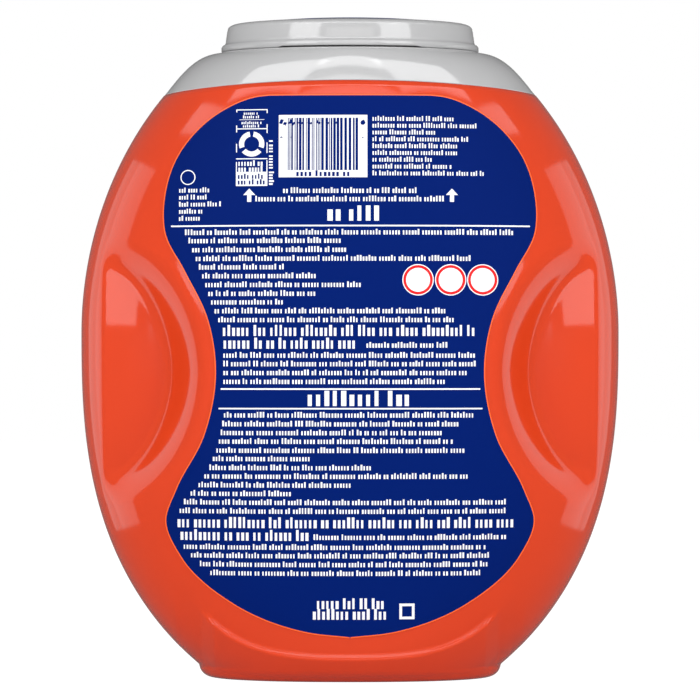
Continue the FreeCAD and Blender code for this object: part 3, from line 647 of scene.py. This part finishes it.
lid_outline += list(zip(LID_CONE_RADIUS + (LID_SHOULDER_RADIUS - LID_CONE_RADIUS) * cone_share, cone_z))
bend = np.linspace(0, np.pi / 2, LID_SHOULDER_ROWS)
shoulder_from = LID_SHOULDER_RADIUS - LID_SHOULDER_IN
shoulder_in = (shoulder_from - LID_CROWN_RADIUS) * (1 - np.cos(bend)) ** LID_SHOULDER_POWERS[0]
shoulder_up = (LID_CROWN_Z - LID_SHOULDER_Z) * np.sin(bend) ** LID_SHOULDER_POWERS[1]
lid_outline += list(zip(shoulder_from - shoulder_in, LID_SHOULDER_Z + shoulder_up))
recess_top = LID_LABEL_RADIUS + LID_RECESS_EDGE[0]
recess_floor = LID_LABEL_RADIUS + LID_RECESS_EDGE[1]
crown_radii = np.linspace(LID_CROWN_RADIUS - LID_CROWN_IN, recess_top, LID_CROWN_ROWS)
panel_radii = np.linspace(recess_floor, LID_POLE_RADIUS, LID_PANEL_ROWS)
lid_outline += list(zip(crown_radii, crown_height(crown_radii)))
lid_outline += list(zip(panel_radii, crown_height(panel_radii) - LID_LABEL_RECESS))
lid_grid = np.array([circle_ring(radius, z, round_angles) for radius, z in lid_outline])


def raise_back_edge(points):
    """Lifts the skirt's lower edge across the back, with the lift eased out at its ends."""
    width_fade = np.clip((HINGE_RELIEF_HALF_WIDTH - np.abs(points[..., 0])) / HINGE_RELIEF_EASE, 0, 1)
    near_edge = np.clip((lid_bottom + HINGE_RELIEF_TOP - points[..., 2]) / HINGE_RELIEF_FADE, 0, 1)
    lift = HINGE_RELIEF * width_fade * near_edge * (points[..., 1] < 0)
    points[..., 2] += lift


def pull_out_lip(points):
    """Draws the flange outwards at the front into a thumb lip with eased ends."""
    radius = np.hypot(points[..., 0], points[..., 1])
    side = np.clip((LIP_HALF_WIDTH - np.abs(points[..., 0])) / LIP_SIDE_EASE, 0, 1)
    level = np.clip((points[..., 2] - (LID_FLANGE_TOP - LIP_THICKNESS)) / LIP_UNDER_EASE, 0, 1)
    below_top = points[..., 2] < LID_FLANGE_TOP + LIP_OVER
    on_flange = (radius > LID_FLANGE_RADIUS - LIP_FROM) & below_top
    reach = LIP_REACH * side * side * (3 - 2 * side) * level * on_flange * (points[..., 1] > 0)
    points[..., :2] *= 1 + (reach / np.maximum(radius, 1e-6))[..., None]


raise_back_edge(lid_grid)
pull_out_lip(lid_grid)
lid_mesh = ring_mesh("lid", lid_grid)
lid = add_piece("lid_shell", lid_mesh, "lid", grey_plastic)
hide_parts("lid")


# The latch buttons
# Two small grey tabs at the front, moulded of the same plastic as the collar. They keep their solids.

for side in ("left", "right"):
    button = nodes[f"latch_button_{side}"]
    button.data.materials.clear()
    button.data.materials.append(grey_plastic)


# The labels
# Dark blue printed film in the form of an hourglass on the back and the front, and a round one on the lid.
# Their print is plain bars, rules, discs and arrows.

LABEL_RAISE = 0.00035
LABEL_UNDER = 0.00005
LABEL_ROWS = 150
LABEL_COLUMNS = 120
LABEL_TIP = 0.0002
SLOPE_STEP = 0.0005
LID_LABEL_UNDER = 0.00035
LID_LABEL_FACE = 0.00005
LID_LABEL_ROUND = 0.0001
LID_LABEL_UNDER_ROW = 0.02
LID_LABEL_FACE_ROWS = (0.03, 0.015)
LABEL_EDGE = [
    (0.033, 0.2420), (0.038, 0.2415), (0.052, 0.2361), (0.0635, 0.2271), (0.0715, 0.2161), (0.0762, 0.2010),
    (0.0760, 0.1850), (0.0680, 0.1696), (0.0585, 0.1501), (0.0551, 0.1290), (0.0600, 0.1021), (0.0715, 0.0801),
    (0.0759, 0.0670), (0.0697, 0.0521), (0.0478, 0.0326), (0.0180, 0.0211), (0.0, 0.0190),
]
LABEL_BLUE = (0.0006, 0.0115, 0.128)


def smooth_path(corners, count):
    """A smooth curve through corner points: cubic pieces with slopes taken from the neighbours."""
    corners = np.array(corners, float)
    length = np.concatenate([[0], np.cumsum(np.linalg.norm(np.diff(corners, axis=0), axis=1))])
    slope = np.gradient(corners, length, axis=0)
    at = np.linspace(0, length[-1], count)
    index = np.clip(np.searchsorted(length, at, side="right") - 1, 0, len(corners) - 2)
    span = (length[index + 1] - length[index])[:, None]
    t = ((at - length[index])[:, None]) / span
    start = corners[index] * (2 * t**3 - 3 * t**2 + 1) + slope[index] * span * (t**3 - 2 * t**2 + t)
    return start + corners[index + 1] * (3 * t**2 - 2 * t**3) + slope[index + 1] * span * (t**3 - t**2)


def on_label(x, z, raised, side):
    """Points at a distance over the shell's front or back, for places across and up the label."""
    depth = belly_depth_at(x, z) - crease_depth(x, z)
    step = SLOPE_STEP
    slope_x = (belly_depth_at(x + step, z) - belly_depth_at(x - step, z)) / (2 * step)
    slope_z = (belly_depth_at(x, z + step) - belly_depth_at(x, z - step)) / (2 * step)
    size = np.sqrt(1 + slope_x**2 + slope_z**2)
    moved_x = x - raised * slope_x / size
    moved_z = z - raised * slope_z / size
    return np.stack([moved_x, side * (depth + raised / size), moved_z], -1)


def film_mesh(name, face, back):
    """A thin closed sheet from two grids of points, joined round their edge."""
    rows, columns = face.shape[:2]
    index = np.arange(rows * columns).reshape(rows, columns)
    quads = np.stack([index[:-1, :-1], index[:-1, 1:], index[1:, 1:], index[1:, :-1]], -1).reshape(-1, 4)
    other = quads[:, ::-1] + rows * columns
    border = np.concatenate([index[0, :-1], index[:-1, -1], index[-1, :0:-1], index[:0:-1, 0]])
    after = np.roll(border, -1)
    edge = np.stack([after, border, border + rows * columns, after + rows * columns], -1)
    mesh = bpy.data.meshes.new(name)
    points = np.concatenate([face.reshape(-1, 3), back.reshape(-1, 3)])
    mesh.from_pydata(points.tolist(), [], np.concatenate([quads, other, edge]).tolist())
    mesh.polygons.foreach_set("use_smooth", np.ones(len(mesh.polygons), bool))
    mesh.update()
    return mesh


label_blue = plastic(
    "label_film", LABEL_BLUE, roughness=0.5, specular=0.02, wave_height=0.01, grain_height=0.004, drift=0.03
)
edge_path = smooth_path(LABEL_EDGE, LABEL_ROWS)
edge_path[-1, 0] = LABEL_TIP
across_share = np.linspace(-1, 1, LABEL_COLUMNS)
for name, side in (("back_label", -1), ("front_label", 1)):
    half_across = edge_path[:, 0][:, None] * across_share[None, :]
    height = edge_path[:, 1][:, None] + 0 * half_across
    if side > 0:
        half_across = -half_across
    face = on_label(half_across, height, LABEL_RAISE, side)[::-1]
    back = on_label(half_across, height, LABEL_UNDER, side)[::-1]
    film = add_piece(f"{name}_film", film_mesh(name, face, back), "tub", label_blue)
    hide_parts(name)

lid_label_rim = LID_LABEL_RADIUS - LID_LABEL_ROUND
under_radii = (LID_POLE_RADIUS, LID_LABEL_UNDER_ROW, lid_label_rim)
lid_label_outline = [(radius, LID_LABEL_UNDER) for radius in under_radii]
lid_label_outline += [(LID_LABEL_RADIUS, (LID_LABEL_UNDER + LID_LABEL_FACE) / 2)]
face_radii = (lid_label_rim, *LID_LABEL_FACE_ROWS, LID_POLE_RADIUS)
lid_label_outline += [(radius, LID_LABEL_FACE) for radius in face_radii]
lid_label_rings = []
for radius, drop in lid_label_outline:
    lid_label_rings.append(circle_ring(radius, crown_height(radius) - drop, round_angles))
lid_label_mesh = ring_mesh("lid_label", lid_label_rings)
lid_film = add_piece("lid_label_film", lid_label_mesh, "lid", label_blue)
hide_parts("lid_label")


# The print
# Ink on the labels as flat patches a hair above the film. Rows of small blocks stand in for words, and
# the rest is rules, panels, discs, rings and two arrows. A thin bright orange strip along the back label's
# edge is painted highlight. Places on a label are millimetres from its middle line and above the floor.

MILLIMETRE = 0.001
INK_RAISE = 0.00003
WHITE_INK = (0.86, 0.87, 0.90)
# The next orange is brighter than the shell: it paints a highlight along the back label's edge.
EDGE_HIGHLIGHT_ORANGE = (0.95, 0.13, 0.015)
RED_INK = (0.75, 0.01, 0.012)
BAR_PIECE_LENGTH = 4
BAR_PIECE_HEIGHT = 8
RING_PIECE_ANGLE = 8
RING_PIECE_WIDTH = 1.5
RING_LEAST_PIECES = 6
ARROW_TIP = 0.05
LETTER_PITCH = 1.2
LETTER_WIDTHS = (0.45, 0.66)
LETTER_HEIGHTS = (1.0, 1.0, 1.0, 1.35)
WORD_LETTERS = (2, 10)
WORD_GAP = 0.6
TEXT_SEED = 4
random = np.random.default_rng(TEXT_SEED)


def bar(left, right, low, high):
    """A level bar as a grid of places, cut into pieces short enough to follow the label."""
    columns = np.linspace(left, right, 2 + int(abs(right - left) / BAR_PIECE_LENGTH))
    rows = np.linspace(low, high, 2 + int(abs(high - low) / BAR_PIECE_HEIGHT))
    x, z = np.meshgrid(columns, rows)
    return [(x, z)]


def ring(x, z, inner, outer, start=0.0, turn=360.0):
    """A flat ring or part of one, counted in degrees from the right-hand side."""
    pieces = max(int(turn / RING_PIECE_ANGLE), RING_LEAST_PIECES)
    angle = np.radians(np.linspace(start, start + turn, pieces))
    radius = np.linspace(outer, inner, 2 + int((outer - inner) / RING_PIECE_WIDTH))[:, None]
    return [(x + radius * np.cos(angle), z + radius * np.sin(angle))]


def up_arrow(x, low, high, head_width, head_height, shaft):
    """An arrow that points up: a bar and a triangle."""
    head_low = high - head_height
    half = head_width / 2
    head_x = np.array([[x - half, x + half], [x - ARROW_TIP, x + ARROW_TIP]])
    head_z = np.array([[head_low] * 2, [high] * 2])
    return bar(x - shaft / 2, x + shaft / 2, low, head_low) + [(head_x, head_z)]


def words(left, right, z, letter=1.7, pitch=LETTER_PITCH):
    """A row of blocks in groups, as long and as high as a line of small print."""
    patches = []
    at = left
    while at < right - pitch:
        for _ in range(random.integers(*WORD_LETTERS)):
            if at > right - pitch * WORD_GAP:
                break
            tall = letter * random.choice(LETTER_HEIGHTS)
            low = z - letter / 2
            patches += bar(at, at + pitch * random.uniform(*LETTER_WIDTHS), low, low + tall)
            at += pitch
        at += pitch * WORD_GAP
    return patches


def standing_words(x, low, high, letter=1.5):
    """The same row of blocks, turned to read upwards."""
    return [(x + z.T, low + across.T) for across, z in words(0, high - low, 0, letter)]


def ink_mesh(name, patches, place):
    """One mesh from patches, set on a surface by a function of places in metres."""
    points = []
    faces = []
    for x, z in patches:
        x, z = np.broadcast_arrays(x, z)
        rows, columns = x.shape
        index = len(points) + np.arange(rows * columns).reshape(rows, columns)
        points += place(x * MILLIMETRE, z * MILLIMETRE).reshape(-1, 3).tolist()
        quads = np.stack([index[:-1, :-1], index[:-1, 1:], index[1:, 1:], index[1:, :-1]], -1)
        faces += quads.reshape(-1, 4).tolist()
    mesh = bpy.data.meshes.new(name)
    mesh.from_pydata(points, [], faces)
    mesh.polygons.foreach_set("use_smooth", np.ones(len(mesh.polygons), bool))
    mesh.update()
    return mesh


def on_back(x, z):
    """A place on the back label's ink."""
    return on_label(x, z, LABEL_RAISE + INK_RAISE, -1)


def on_back_over(x, z):
    """A place on ink that lies over other ink."""
    return on_label(x, z, LABEL_RAISE + 2 * INK_RAISE, -1)


SMALL_LINES = (
    (-67.5, 67.2, 185.1), (-66.0, -3.0, 181.7), (-64.5, 0.2, 178.0), (-63.0, 49.6, 174.4),
    (-61.7, -26.8, 170.9), (-60.3, -13.0, 167.3), (-59.0, 5.5, 163.7), (-57.8, -13.5, 160.1),
    (-56.6, -27.0, 156.6), (-55.2, 39.3, 153.0), (-53.7, 43.1, 149.4), (6.7, 39.8, 139.0),
    (-51.6, 51.8, 134.9), (-51.6, 51.8, 131.4), (-51.6, 48.5, 127.8), (-51.6, 38.7, 124.2),
    (-51.4, 50.9, 110.5), (-52.1, 44.3, 106.9), (-52.7, 39.0, 103.3), (-53.5, 42.9, 99.8),
    (-54.5, 47.2, 96.1), (-56.0, -16.3, 92.7), (-57.4, 10.0, 89.0), (-59.5, 49.1, 85.5),
    (-61.9, 2.2, 81.9), (-65.2, -22.0, 78.4), (-68.0, 66.0, 74.8), (-69.8, 64.4, 71.2),
    (-14.9, 64.9, 60.5), (-68.2, 55.9, 56.4), (-65.2, 58.6, 52.9), (-61.5, 57.0, 49.3),
    (-57.2, 54.1, 45.7), (-27.3, 27.8, 202.1), (-38.6, 39.0, 198.7),
)
LARGE_LINES = ((-51.8, 51.7, 144.8), (-51.5, 5.5, 139.6), (-70.7, 67.6, 66.3), (-69.5, -15.7, 61.1),
               (-13.5, 14.0, 33.0), (-15.2, 15.7, 28.6))
HEADINGS = ((-9.2, 14.7, 192.4), (-17.2, 25.4, 116.9))
RULES = ((-73.3, 73.7, 187.9), (-52.7, 53.1, 121.3), (-53.6, 54.0, 113.3))
LINE_DROP = 0.2
LARGE_LETTER = (3.3, 1.9)
HEADING_LETTER = (4.6, 3.4)
FINE_LETTER = (1.5, 1.05)
RULE_HALF_HEIGHT = 0.3
ADDRESS_LEFT = 9.2
ADDRESS_TOP = 231.7
ADDRESS_PITCH = 2.81
ADDRESS_ENDS = (43.1, 52.1, 35.8, 48.8, 44.7, 44.3, 34.5, 42.0, 55.4)
NOTE_LEFT = -70.0
NOTE_TOP = 202.5
NOTE_PITCH = 2.9
NOTE_ENDS = (-57.2, -58.0, -52.3, -59.9, -61.1)
NOTE_RING = (-66.4, 208.0, 2.7, 3.1)
STRIPE_PANEL = (-29.1, 7.1, 207.7, 233.4)
STRIPES_LEFT = -25.4
STRIPES_RIGHT = 3.4
STRIPES_HEIGHT = (210.6, 232.2)
STRIPE_WIDTHS = (0.35, 0.35, 0.7, 1.05)
STRIPE_GAPS = (0.35, 0.35, 0.7)
STRIPE_WORDS = (-21.9, 0.2, 209.0, 1.8, 1.7)
FRAME_LEFT = -46.6
FRAME_RIGHT = -33.7
FRAME_LOW = 204.2
FRAME_HIGH = 235.9
FRAME_LINE = 0.4
FRAME_UPRIGHTS = (FRAME_LEFT, -34.1)
FRAME_LEVELS = (235.5, 227.6, 215.2, 209.6)
FRAME_THIN_RULE = (-45.3, -35.0, 231.5, 231.7)
FRAME_TOP_LINES = ((-43.5, -37.0, 234.3), (-43.8, -36.6, 232.8), (-44.4, -35.9, 230.4), (-43.8, -36.6, 229.0))
FRAME_TOP_LETTER = (0.9, 0.8)
FRAME_MIDDLE_LINES = ((-45.6, -34.6, 213.5), (-45.6, -34.6, 211.1))
FRAME_MIDDLE_LETTER = (1.7, 1.2)
FRAME_LOW_LINES = ((-45.8, -34.4, 208.1), (-45.8, -34.4, 205.8))
FRAME_LOW_LETTER = (1.6, 1.25)
ARC_RING = (-40.2, 221.5, 3.1, 5.2)
ARC_STARTS = (100, 220, 340)
ARC_TURN = 100
STANDING_LINE = (-32.3, 204.6, 223.8)
ARROW_PLACES = (-41.1, 41.6)
ARROW_SHAPE = (197.7, 203.1, 4.9, 2.6, 1.7)
DISC_PLACES = (27.7, 41.0, 54.1)
DISC_Z = 165.8
DISC_HOLE = 0.05
DISC_RADIUS = 6.4
DISC_RING = (4.9, 6.0)
SQUARE = (20.2, 26.4, 26.9, 33.4)
SQUARE_INSIDE = (21.3, 25.3, 28.0, 32.3)
# Width and top bar of the painted highlight strip along the back label's edge.
HIGHLIGHT_STRIP_WIDTH = 0.45
HIGHLIGHT_STRIP_TOP = (-33.0, 33.0, 241.55, 242.0)
white = []
for line in SMALL_LINES:
    white += words(*line)
for lines, letter in ((LARGE_LINES, LARGE_LETTER), (HEADINGS, HEADING_LETTER)):
    for left, right, z in lines:
        white += words(left, right, z - LINE_DROP, *letter)
for left, right, z in RULES:
    white += bar(left, right, z - RULE_HALF_HEIGHT, z + RULE_HALF_HEIGHT)
for row, right in enumerate(ADDRESS_ENDS):
    white += words(ADDRESS_LEFT, right, ADDRESS_TOP - ADDRESS_PITCH * row, *FINE_LETTER)
for row, right in enumerate(NOTE_ENDS):
    white += words(NOTE_LEFT, right, NOTE_TOP - NOTE_PITCH * row, *FINE_LETTER)
white += ring(*NOTE_RING)
white += bar(*STRIPE_PANEL)
for edge in FRAME_UPRIGHTS:
    white += bar(edge, edge + FRAME_LINE, FRAME_LOW, FRAME_HIGH)
for level in FRAME_LEVELS:
    white += bar(FRAME_LEFT, FRAME_RIGHT, level, level + FRAME_LINE)
white += bar(FRAME_LEFT, FRAME_RIGHT, FRAME_LOW, FRAME_LEVELS[-1])
white += bar(*FRAME_THIN_RULE)
for start in ARC_STARTS:
    white += ring(*ARC_RING, start, ARC_TURN)
for lines, letter in ((FRAME_TOP_LINES, FRAME_TOP_LETTER), (FRAME_MIDDLE_LINES, FRAME_MIDDLE_LETTER)):
    for left, right, z in lines:
        white += words(left, right, z - LINE_DROP, *letter)
white += standing_words(*STANDING_LINE)
for x in ARROW_PLACES:
    white += up_arrow(x, *ARROW_SHAPE)
for x in DISC_PLACES:
    white += ring(x, DISC_Z, DISC_HOLE, DISC_RADIUS)
white += bar(*SQUARE)
red = []
for x in DISC_PLACES:
    red += ring(x, DISC_Z, *DISC_RING)
blue = []
at = STRIPES_LEFT
while at < STRIPES_RIGHT:
    width = random.choice(STRIPE_WIDTHS)
    blue += bar(at, at + width, *STRIPES_HEIGHT)
    at += width + random.choice(STRIPE_GAPS)
blue += words(*STRIPE_WORDS)
for left, right, z in FRAME_LOW_LINES:
    blue += words(left, right, z - LINE_DROP, *FRAME_LOW_LETTER)
blue += bar(*SQUARE_INSIDE)
# A thin bright orange strip along the back label's sides and across its top: painted highlight, not ink.
edge_low = edge_path / MILLIMETRE
edge_turn = np.gradient(edge_low, axis=0)
edge_turn /= np.linalg.norm(edge_turn, axis=1)[:, None]
edge_in = edge_low + HIGHLIGHT_STRIP_WIDTH * np.stack([edge_turn[:, 1], -edge_turn[:, 0]], axis=1)
edge_in[:, 0] = np.maximum(edge_in[:, 0], 0.0)
border_x = np.stack([edge_low[:, 0], edge_in[:, 0]])
border_z = np.stack([edge_low[:, 1], edge_in[:, 1]])
border = [(border_x, border_z), (-border_x, border_z)]
border += bar(*HIGHLIGHT_STRIP_TOP)
white_ink = plastic("white_ink", WHITE_INK, 0.5, 0.15, 0.0, 0.0, 0.0)
painted_edge_highlight = plastic("painted_edge_highlight", EDGE_HIGHLIGHT_ORANGE, 0.4, 0.3, 0.0, 0.0, 0.0)
red_ink = plastic("red_ink", RED_INK, 0.5, 0.15, 0.0, 0.0, 0.0)
# The orange patches below are the painted highlight along the label's edge; the rest is print.
for name, patches, ink, place in (
    ("back_white_print", white, white_ink, on_back),
    ("back_painted_edge_highlight", border, painted_edge_highlight, on_back),
    ("back_red_print", red, red_ink, on_back_over),
    ("back_blue_print", blue, label_blue, on_back_over),
):
    add_piece(name, ink_mesh(name, patches, place), "tub", ink)


# The studio
# White to the camera, and brighter on the camera's side than behind. Two soft lamps stand in front, an
# arch of three hangs over them with a band of three below it, two white cards stand close to each side,
# and two weak lamps in front fill the shade.

CAMERA_DISTANCE = 2.4
CAMERA_HEIGHT = 0.1372
CAMERA_LENS = 292.7
CAMERA_SENSOR = 36
CAMERA_REACH = 100
LAMP_DISTANCE = 1.2
LAMP_PAIRS = (
    ("front_lamp", 43.5, 21.5, 0.58, 0.78, 2.5, 0),
    ("arch_lamp", 46, 57, 0.70, 0.34, 2.75, 0),
    ("band_lamp", 66, 41, 1.0, 0.15, 1.9, 8),
)
CARD_PAIRS = (("side_card", 0.034, 0.10, 0.9), ("back_card", 0.124, 0.08, 0.55))
CARD_X = 0.25
CARD_Z = 0.152
CARD_HEIGHT = 0.30
MIDDLE_LAMPS = (
    ("arch_middle", 0, 59.5, 0.40, 0.24, 2.8, 0),
    ("band_middle", 0, 44, 1.2, 0.17, 2.1, 0),
    ("fill_lamp", 0, 14, 0.9, 0.6, 0.65, 0),
    ("low_fill", 0, -2.5, 1.6, 0.16, 3.6, 0),
)
LID_LEVEL = (0, 0, 0.25)
FOOT_LEVEL = (0, 0, 0.03)
SKY_SIDE = 0.68
SKY_FRONT_GAIN = 0.30
SKY_GLOSS_SHARE = 0.42
FLOOR_REACH = 6
FLOOR_WHITE = (0.85, 0.85, 0.85, 1)
FLOOR_GLOW = 1.1
FLOOR_GLOW_SHARE = 0.92
world = bpy.data.worlds.new("studio")
bpy.context.scene.world = world
world.use_nodes = True
tree = world.node_tree
sky = tree.nodes["Background"]
sky.inputs["Color"].default_value = (1, 1, 1, 1)
rays = tree.nodes.new("ShaderNodeLightPath")
towards = tree.nodes.new("ShaderNodeTexCoord")
parts = tree.nodes.new("ShaderNodeSeparateXYZ")
tree.links.new(towards.outputs["Generated"], parts.inputs[0])
front = math_node(tree, "MULTIPLY_ADD", parts.outputs["Y"], -SKY_FRONT_GAIN, SKY_SIDE)
gloss = math_node(tree, "MULTIPLY_ADD", rays.outputs["Is Glossy Ray"], SKY_GLOSS_SHARE - 1, 1)
level = math_node(tree, "MULTIPLY", front, gloss)
shown = math_node(tree, "MAXIMUM", level, rays.outputs["Is Camera Ray"])
tree.links.new(shown, sky.inputs["Strength"])

floor_material = bpy.data.materials.new("floor")
floor_material.use_nodes = True
tree = floor_material.node_tree
paint = tree.nodes["Principled BSDF"]
paint.inputs["Base Color"].default_value = FLOOR_WHITE
paint.inputs["Roughness"].default_value = 0.9
paint.inputs["Specular IOR Level"].default_value = 0.0
glow = tree.nodes.new("ShaderNodeEmission")
glow.inputs["Strength"].default_value = FLOOR_GLOW
mix = tree.nodes.new("ShaderNodeMixShader")
rays = tree.nodes.new("ShaderNodeLightPath")
share = math_node(tree, "MULTIPLY", rays.outputs["Is Camera Ray"], FLOOR_GLOW_SHARE)
tree.links.new(share, mix.inputs["Fac"])
tree.links.new(paint.outputs[0], mix.inputs[1])
tree.links.new(glow.outputs[0], mix.inputs[2])
tree.links.new(mix.outputs[0], tree.nodes["Material Output"].inputs["Surface"])
floor_mesh = bpy.data.meshes.new("floor")
floor_signs = ((-1, -1), (1, -1), (1, 1), (-1, 1))
floor_mesh.from_pydata([(x * FLOOR_REACH, y * FLOOR_REACH, 0) for x, y in floor_signs], [], [(0, 1, 2, 3)])
floor_mesh.materials.append(floor_material)
floor = bpy.data.objects.new("floor", floor_mesh)
bpy.context.scene.collection.objects.link(floor)
floor.visible_glossy = False


def soft_lamp(name, place, looks_at, width, height, radiance, roll=0.0):
    """A rectangular lamp of even radiance at a place, turned to look at another place. The camera does
    not see it."""
    lamp = bpy.data.lights.new(name, "AREA")
    lamp.shape = "RECTANGLE"
    lamp.size = width
    lamp.size_y = height
    lamp.energy = radiance * width * height * math.pi
    holder = bpy.data.objects.new(name, lamp)
    away = np.array(place) - np.array(looks_at)
    tilt = math.atan2(away[2], math.hypot(away[0], away[1]))
    turn = math.atan2(away[0], -away[1])
    facing = Matrix.Rotation(turn, 4, "Z") @ Matrix.Rotation(math.radians(90) - tilt, 4, "X")
    facing = facing @ Matrix.Rotation(math.radians(roll), 4, "Z")
    holder.matrix_world = Matrix.Translation(place) @ facing
    holder.visible_camera = False
    bpy.context.scene.collection.objects.link(holder)
    return holder


def round_tub(azimuth, elevation):
    """A place at lamp distance. Azimuth 0 is the camera's side, and it grows to the right."""
    turn = math.radians(azimuth)
    tilt = math.radians(elevation)
    away = np.array([math.sin(turn) * math.cos(tilt), -math.cos(turn) * math.cos(tilt), math.sin(tilt)])
    return away * LAMP_DISTANCE + [0, 0, CAMERA_HEIGHT]


def tub_lamp(name, azimuth, elevation, width, height, radiance, roll):
    """A lamp at lamp distance. The arch and the band look at the lid and light no matt colour, the low
    fill looks at the foot and isn't mirrored, and the others look at the middle."""
    overhead = name.startswith(("arch", "band"))
    low = name == "low_fill"
    looks_at = LID_LEVEL if overhead else FOOT_LEVEL if low else (0, 0, CAMERA_HEIGHT)
    holder = soft_lamp(name, round_tub(azimuth, elevation), looks_at, width, height, radiance, roll)
    holder.visible_diffuse = not overhead
    holder.visible_glossy = not low


for hand in (-1, 1):
    for name, azimuth, elevation, width, height, radiance, roll in LAMP_PAIRS:
        tub_lamp(f"{name}_{hand}", hand * azimuth, elevation, width, height, radiance, hand * roll)
    for name, y, width, radiance in CARD_PAIRS:
        soft_lamp(f"{name}_{hand}", (hand * CARD_X, y, CARD_Z), (0, y, CARD_Z), width, CARD_HEIGHT, radiance)
for lamp in MIDDLE_LAMPS:
    tub_lamp(*lamp)

camera = bpy.data.cameras.new("camera")
camera.lens = CAMERA_LENS
camera.sensor_width = CAMERA_SENSOR
camera.clip_end = CAMERA_REACH
holder = bpy.data.objects.new("camera", camera)
holder.location = (0, -CAMERA_DISTANCE, CAMERA_HEIGHT)
holder.rotation_euler = (math.radians(90), 0, 0)
bpy.context.scene.collection.objects.link(holder)
bpy.context.scene.camera = holder
bpy.context.scene.view_settings.view_transform = "Standard"
